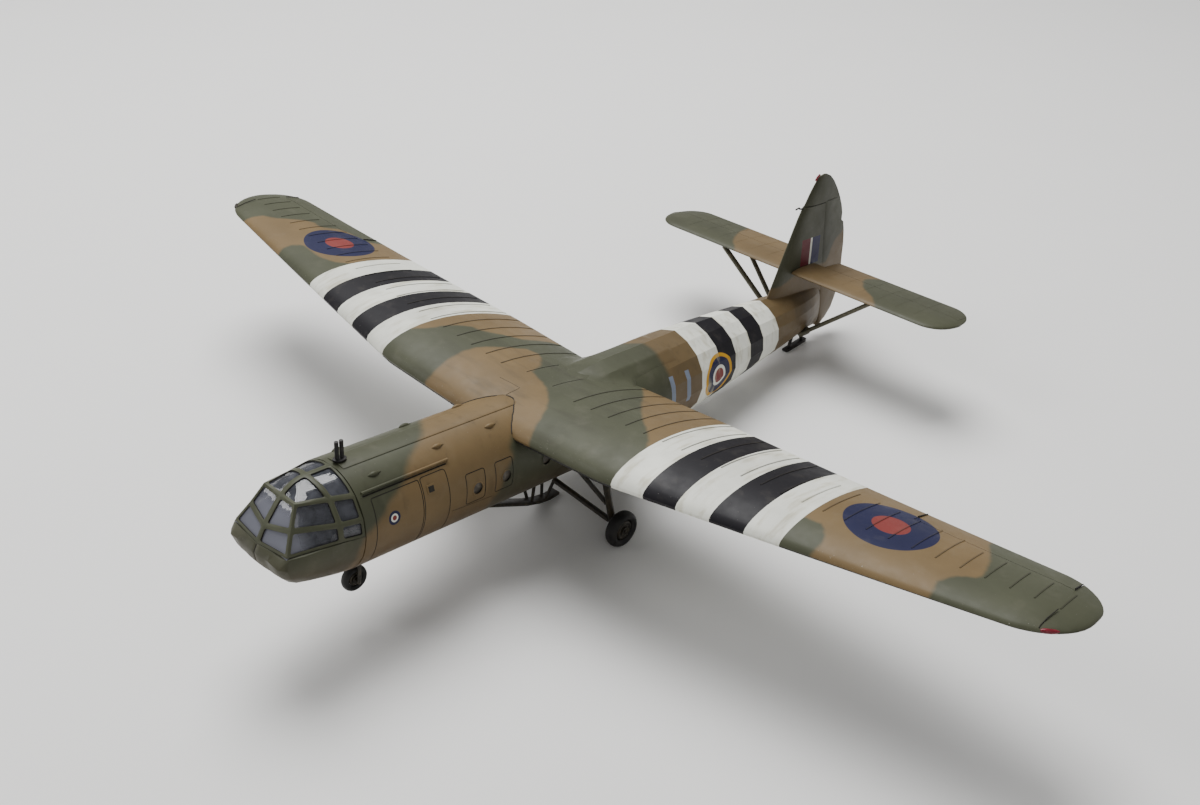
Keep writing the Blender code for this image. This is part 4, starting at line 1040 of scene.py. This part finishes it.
def plate(name, ys, vs, lift, thick, mat):
    """A thin plate that follows the skin of the body."""
    bpy.ops.mesh.primitive_grid_add(x_subdivisions=16, y_subdivisions=8, size=1.0)
    ob = start(name)
    for vertex in ob.data.vertices:
        y, v = [low + (share + 0.5) * (high - low) for share, (low, high) in zip(vertex.co, (ys, vs))]
        vertex.co = body_point(y, v, lift)
    outward(ob)
    apply(ob, "SOLIDIFY", thickness=thick, offset=0.0)
    apply(ob, "BEVEL", width=0.08, segments=2)
    if mat is body_paint:
        spray(ob, "body")
    settle(ob, mat)


plate("crown_strip", (-113.4, -46.0), (-3.7, 3.7), 0.0, 0.38, body_paint)
window_v = around(-90.8, 33.8)
plate("door_window_frame", (-92.3, -89.3), (window_v - 1.4, window_v + 1.4), 0.0, 0.4, body_paint)
# The door window pane has the dark seam paint: painted shade of the unlit inside.
plate("door_window_pane", (-91.8, -89.8), (window_v - 0.9, window_v + 0.9), 0.08, 0.4, seam_wash_and_shade)
print("rims, panes and blisters:", len(rims), len(panes), len(blisters))

# %% [markdown]
# ## Nose pan, glazing and mast
# The lower nose is already the right shape as a solid. A copy of it is merged, so that its loose
# triangles become one skin, and shaded smooth. The glazing is the frame of bars with softened
# edges, over one clear shell. The shell is grey with haze, as thick clear plastic looks under a
# light tent, and is let out a little so that the panes sit just behind the faces of the bars.


# %% Copies of solids with softened edges
def carried(name, node, width=0.0):
    """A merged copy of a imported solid, back in level millimetres, with bevelled edges."""
    ob = nodes[node].copy()
    ob.data = nodes[node].data.copy()
    ob.parent = None
    for key in list(ob.keys()):
        if key.startswith("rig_"):
            del ob[key]
    bpy.context.collection.objects.link(ob)
    ob.name = ob.data.name = name
    ob.data.materials.clear()
    ob.data.transform(LEVEL)
    edit(ob)
    bpy.ops.mesh.remove_doubles(threshold=0.002)
    bpy.ops.mesh.tris_convert_to_quads(face_threshold=math.radians(3), shape_threshold=math.radians(60))
    bpy.ops.mesh.dissolve_limited(angle_limit=math.radians(0.6))
    done()
    if width:
        soften(ob, width, 30)
    return ob


def round_edges(ob, test, offset):
    """Bevels the edges that pass a test."""
    edit(ob, test, "edges")
    print(ob.name, "edges rounded:", sum(e.select for e in bmesh.from_edit_mesh(ob.data).edges))
    bpy.ops.mesh.bevel(offset=offset, offset_type="OFFSET", segments=3, clamp_overlap=True)
    done()


# %% Nose pan
SILL_Y, SILL_Z = (-139.0, -137.9, -122.3, -115.3), (27.3, 28.0, 28.5, 28.3)
SEAM_Z = (26.9, 26.2, 24.6, 22.8, 21.0, 19.0, 17.0, 15.2, 13.6)
pan = carried("nose_pan_skin", "nose_pan")
for vertex in pan.data.vertices:
    if vertex.co.z > 26.6:
        vertex.co.z = between(vertex.co.y, SILL_Y, SILL_Z) - 0.12
        if vertex.co.y < -136.5:
            vertex.co.y += between(abs(vertex.co.x), (5.0, 8.0, 10.5, 12.5), (0.1, 0.7, 1.1, 0.7))


def sill_edge(middle, edge):
    """True for the outer upper edge of the nose pan."""
    out = Vector((middle.x, middle.y + 120.0, 0.0)).normalized()
    normals = [face.normal for face in edge.link_faces]
    outer = any(n.dot(out) > 0.5 for n in normals) and any(n.z > 0.7 for n in normals)
    return middle.z > 26.6 and middle.y < -122.0 and edge.calc_face_angle(0.0) > 0.7 and outer


round_edges(pan, sill_edge, 0.5)
soften(pan, 0.25, 40)
bpy.context.view_layer.update()
casts = [pan.ray_cast((0.02, -160.0, z), (0.0, 1.0, 0.0)) for z in SEAM_Z]
groove(pan, [[tuple(point) for hit, point, *_ in casts if hit]], 0.2)
spray(pan, "body")
settle(pan, body_paint, ["nose_pan"], angle=38.0)


# %% Canopy and mast
def pane_corner(middle, edge):
    """True for the short edges that run through the frame at the corners of the panes."""
    along = (edge.verts[1].co - edge.verts[0].co).normalized()
    inward = (Vector((0.0, -120.0, 30.0)) - middle).normalized()
    return 0.6 < edge.calc_length() < 1.6 and abs(along.dot(inward)) > 0.6 and edge.calc_face_angle(0.0) > 0.7


bars = carried("canopy_bars", "canopy_frame")
round_edges(bars, pane_corner, 0.6)
soften(bars, 0.2, 35)
shell = carried("canopy_panes", "canopy_glass")
edit(shell)
bpy.ops.transform.resize(value=(1.045, 1.035, 1.05), center_override=(0.0, -115.3, 26.7))
done()
bars.data.materials.append(frame_paint)
bars.data.materials.append(seam_wash_and_shade)
# The walls round each pane take the dark seam paint: painted shade at the pane edges.
for face in bars.data.polygons:
    facing = shell.closest_point_on_mesh(face.center)[2].dot(face.normal)
    face.material_index = int(abs(facing) < 0.6)
print("dark pane edges:", sum(face.material_index for face in bars.data.polygons))
settle(bars, frame_paint, ["canopy_frame"], angle=45.0)
settle(shell, glass_paint, ["canopy_glass"], angle=25.0)
settle(carried("vent_mast_tubes", "vent_mast", 0.12), black_paint, ["vent_mast"])

# %% [markdown]
# ## Tail surfaces
# The tailplane is a thin symmetrical section, made as the wing is, and its elevators are cut out
# with a fine gap. The fin and rudder are sections that climb: each is extruded upward, and every
# new end is moved and scaled to the edges seen in side view.

# %% Tailplane
TAIL_Z, TAIL_LE, TAIL_TE, TAIL_HINGE, TAIL_REAR = 53.8, 104.8, 132.5, 121.0, 145.0
TAIL_TIP_X, TAIL_END_X = 59.0, 69.0
TAIL_RIBS, TAIL_RIB_HALF = (14.0, 22.0, 30.0, 38.0, 46.0, 54.0), 0.15
ELEVATOR = (7.0, 66.8)


def tail_skin(name, side):
    """One half of the tailplane with its elevator."""
    inner = [2.0, 5.0, 8.0, 11.0] + [x + d for x in TAIL_RIBS for d in (-TAIL_RIB_HALF, TAIL_RIB_HALF, 4.0)]
    rows = []
    for x in sorted({*inner, *tip_steps(TAIL_TIP_X, TAIL_END_X)}):
        s = max(0.0, (x - TAIL_TIP_X) / (TAIL_END_X - TAIL_TIP_X))
        keep = 1.0 if s == 0 else 0.1 + 0.9 * math.sqrt(max(0.0, 1 - s * s))
        middle = 0.5 * (TAIL_LE + TAIL_TE)
        rows.append(((side * x, middle + (TAIL_LE - middle) * keep, TAIL_Z), (1.0, keep, max(0.35, keep))))
    outline = section(TAIL_LE, TAIL_TE, 0.09, 0.0, 14, 0.2)
    ob = loft(name, [(rows[0][0][0], y, TAIL_Z + h) for y, h in outline], rows)
    edit(ob, lambda c, _: any(abs(abs(c.x) - r) < TAIL_RIB_HALF for r in TAIL_RIBS) and 109.0 < c.y < 130.5)
    bpy.ops.mesh.extrude_region_shrink_fatten(TRANSFORM_OT_shrink_fatten={"value": 0.035})
    done()
    return ob


def tail_room(side, x0, x1, front):
    """The room behind a hinge, from one station to another."""
    plan = (x0, front), (x1, front), (x1, TAIL_REAR), (x0, TAIL_REAR)
    return block([(side * x, y) for x, y in plan], 45.0, 62.0)


for label, side in SIDES:
    plane = tail_skin("tailplane_skin_" + label, side)
    elevator = twin(plane, "elevator_skin_" + label)
    for piece, gap, mode in ((elevator, 0.06, "INTERSECT"), (plane, -0.06, "DIFFERENCE")):
        cut(piece, tail_room(side, ELEVATOR[0] + gap, ELEVATOR[1] - gap, TAIL_HINGE + gap), mode)
    cut(plane, tail_room(side, 1.0, 6.9, TAIL_HINGE - 0.15))
    for piece, node in ((plane, "tailplane_" + label), (elevator, "elevator_" + label)):
        spray(piece, "tail")
        settle(piece, tail_paint, [node])
        print(piece.name, len(piece.data.polygons), "faces")

# %% Fin and rudder
FIN_FOOT, FIN_T, HORN_Z, TOP_Z, GAP = 41.0, 3.6, 80.2, 91.8, 0.15
FIN_LE = ((41.0, 92.2), (45.8, 94.0), (57.9, 98.5), (63.0, 100.4), (71.5, 103.5), (75.9, 105.3),
          (79.4, 107.0), (81.7, 108.4), (84.7, 110.0), (87.2, 111.5), (89.6, 113.1), (90.8, 114.1),
          (91.5, 115.6), (91.8, 117.6))
RUDDER_TE = ((23.4, 136.4), (25.6, 141.6), (29.5, 144.8), (35.0, 146.4), (42.0, 146.7), (48.7, 145.9),
             (52.9, 145.0), (58.5, 144.0), (64.1, 142.3), (68.4, 140.3), (69.6, 138.5), (72.8, 137.9),
             (76.3, 136.1), (80.2, 133.4), (84.5, 129.8), (88.0, 126.3), (90.5, 122.9), (91.8, 119.4))
FIN_PROFILE = ((0.0, 0.0), (0.01, 0.22), (0.03, 0.42), (0.07, 0.65), (0.13, 0.85), (0.22, 0.97), (0.32, 1.0),
               (0.55, 0.98), (0.8, 0.95), (1.0, 0.92))
BLADE_PROFILE = ((0.0, 0.9), (0.04, 0.98), (0.12, 1.0), (0.3, 0.92), (0.55, 0.66), (0.8, 0.36), (0.95, 0.18),
                 (1.0, 0.1))
HORN_PROFILE = ((0.0, 0.0), (0.02, 0.3), (0.06, 0.55), (0.14, 0.82), (0.28, 1.0), (0.5, 0.92), (0.75, 0.55),
                (0.95, 0.2), (1.0, 0.1))


def edge_y(z, edge):
    """Where a fin or rudder edge lies at height z."""
    return between(z, *zip(*edge))


def hinge_y(z):
    """Rudder hinge line."""
    return 134.6 + (121.7 - 134.6) * (z - 24.4) / (78.6 - 24.4)


def climb(name, profile, rows):
    """Extrudes a profile of chord and thickness shares up through rows (z, front, rear, thickness)."""
    z, front, rear, thick = rows[0]
    port = [(0.5 * thick * h, front + (rear - front) * u, z) for u, h in profile]
    mirror = [(-x, y, h) for x, y, h in reversed(port) if x > 1e-6]
    return loft(name, port + mirror, [((0.0, y0, z), (t, y1 - y0, 1.0)) for z, y0, y1, t in rows])


def dress(piece, node):
    """Paints the fin or the rudder and hands it over."""
    spray(piece, "fin")
    settle(piece, fin_paint, [node])
    print(piece.name, len(piece.data.polygons), "faces")


low = HORN_Z - 0.3
levels = sorted({z for z, _ in FIN_LE if z < low} | {low} | set(np.arange(44.0, 79.0, 2.5)))
rows = []
for z in levels:
    thick = FIN_T * (1 - 0.25 * (z - FIN_FOOT) / 40.0)
    rows.append((z, edge_y(z, FIN_LE), hinge_y(z) - GAP, thick))
dress(climb("fin_skin", FIN_PROFILE, rows), "fin")
probe = [(edge_y(79.4, FIN_LE) + 1.5, 79.3), (105.0, 79.7), (104.2, 80.3), (102.2, 79.9)]
bead("fin_probe", [(0.0, y, z) for y, z in probe], 0.32, black_paint, sides=3)

# %% Rudder with its horn
levels = sorted({z for z, _ in RUDDER_TE if z < HORN_Z} | set(np.arange(26.0, 80.0, 2.5)) | {HORN_Z + 0.1})
rows = []
for z in levels:
    thick = FIN_T * (0.92 - 0.25 * max(0.0, z - FIN_FOOT) / 40.0)
    rows.append((z, hinge_y(z) + GAP, edge_y(z, RUDDER_TE), thick))
rudder = climb("rudder_skin", BLADE_PROFILE, rows)
levels = sorted({z for z, _ in FIN_LE + RUDDER_TE if z > HORN_Z} | {HORN_Z, 82.5, 86.0, 91.3})
rows = []
for z in levels:
    thick = 2.7 * (1 - 0.7 * ((z - HORN_Z) / (TOP_Z - HORN_Z)) ** 3)
    rows.append((z, edge_y(z, FIN_LE), edge_y(z, RUDDER_TE), thick))
cut(rudder, climb("horn", HORN_PROFILE, rows), "UNION")
dress(rudder, "rudder")
top_light = [(0.0, 112.4, 89.9), (0.0, 113.4, 91.2), (0.0, 114.6, 92.0)]
bead("fin_top_light", top_light, 0.4, lamp_red, sides=3)

# %% [markdown]
# ## Struts, undercarriage, skids and cockpit
# These small mouldings have the right shape as solids. Copies of them are merged and get softened
# edges, because a moulded part has no razor edge and the soft edge catches the light. The tyres
# and hubs ride on their own bodies, so that they turn.

# %% Small mouldings
for label, _ in SIDES:
    struts = carried("tail_struts_" + label, "tail_strut_" + label, 0.1)
    edit(struts)
    bpy.ops.transform.shrink_fatten(value=0.4)
    done()
    settle(struts, strut_paint, ["tail_strut_" + label])
    for node in ("main_leg_", "radius_rod_", "side_strut_"):
        settle(carried(node + "part_" + label, node + label, 0.12), gear_paint, [node + label])
settle(carried("nose_fork_part", "nose_fork", 0.1), gear_paint, ["nose_fork"])
skid = carried("belly_skid_part", "belly_skid", 0.1)
for vertex in skid.data.vertices:
    sag = between(vertex.co.y, (-54.0, -36.0, -24.0, -18.0), (0.0, 1.4, 1.4, 0.9))
    vertex.co.z -= sag * clamp((9.5 - vertex.co.z) / 8.0)
settle(skid, gear_paint, ["belly_skid"])
settle(carried("tail_skid_part", "tail_skid", 0.1), black_paint, ["tail_skid"])
for wheel in ("main_left", "main_right", "nose"):
    for node, mat, slot in (("tyre_", tyre_paint, "tyre"), ("hub_", gear_paint, "gear")):
        part = carried(node + "part_" + wheel, node + wheel, 0.08)
        settle(part, mat, [node + wheel], "wheel_" + wheel, 40.0)
INNER = {"cockpit_floor": cockpit_paint, "cockpit_bulkhead": cockpit_paint, "seat_left": cockpit_paint,
         "seat_right": cockpit_paint, "instrument_panel": black_paint, "stick_left": black_paint,
         "stick_right": black_paint, "window_strip_left": glass_paint, "window_strip_right": glass_paint}
for node, mat in INNER.items():
    nodes[node].material_slots[0].material = mat
print("solids shown as they are:", len(INNER))

# %% Hub caps
CAP_R, CAP_DEPTH = 1.55, 0.5
for wheel, side in (("main_left", 1), ("main_right", -1), ("nose", 1), ("nose", -1)):
    low, high = [Vector(corner) * 1000 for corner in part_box("hub_" + wheel)]
    middle = (low + high) / 2
    place = ((high if side > 0 else low).x, middle.y, middle.z)
    bpy.ops.mesh.primitive_cylinder_add(vertices=32, radius=CAP_R, depth=CAP_DEPTH, location=place,
                                        rotation=(0.0, side * math.pi / 2, 0.0))
    cap = start("hub_cap_" + wheel + ("" if side > 0 else "_b"))
    bpy.ops.object.transform_apply(location=True, rotation=True, scale=True)
    for inset, depth in ((0.35, -0.18), (0.55, 0.3)):
        edit(cap, lambda c, n: n.x * side > 0.9 and math.hypot(c.y - middle.y, c.z - middle.z) < 0.1)
        bpy.ops.mesh.inset(thickness=inset)
        bpy.ops.mesh.extrude_region_move(TRANSFORM_OT_translate={"value": (side * depth, 0.0, 0.0)})
        done()
    soften(cap, 0.05, 40)
    cap.data.transform(Matrix.Rotation(PITCH, 4, "X") @ Matrix.Translation(-STANCE))
    settle(cap, gear_paint, (), "wheel_" + wheel)
print("hub caps on", [round(value, 1) for value in middle], "last")

# %% Tip lights
for (label, side), mat in zip(SIDES, (lamp_red, gear_paint)):
    path = []
    for x in np.linspace(171.6, 175.2, 6):
        le, _, z, _ = wing_row(x)
        path.append((side * x, le + 0.45, z + 0.35))
    bead("tip_light_" + label, path, 0.7, mat, sides=3, taper=(0.5, 1.0, 1.0, 1.0, 0.85, 0.3))

# %% Finish
look_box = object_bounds()
for title, box in (("cad box", cad_box), ("look box", look_box)):
    print(title, [[round(v, 4) for v in corner] for corner in box])
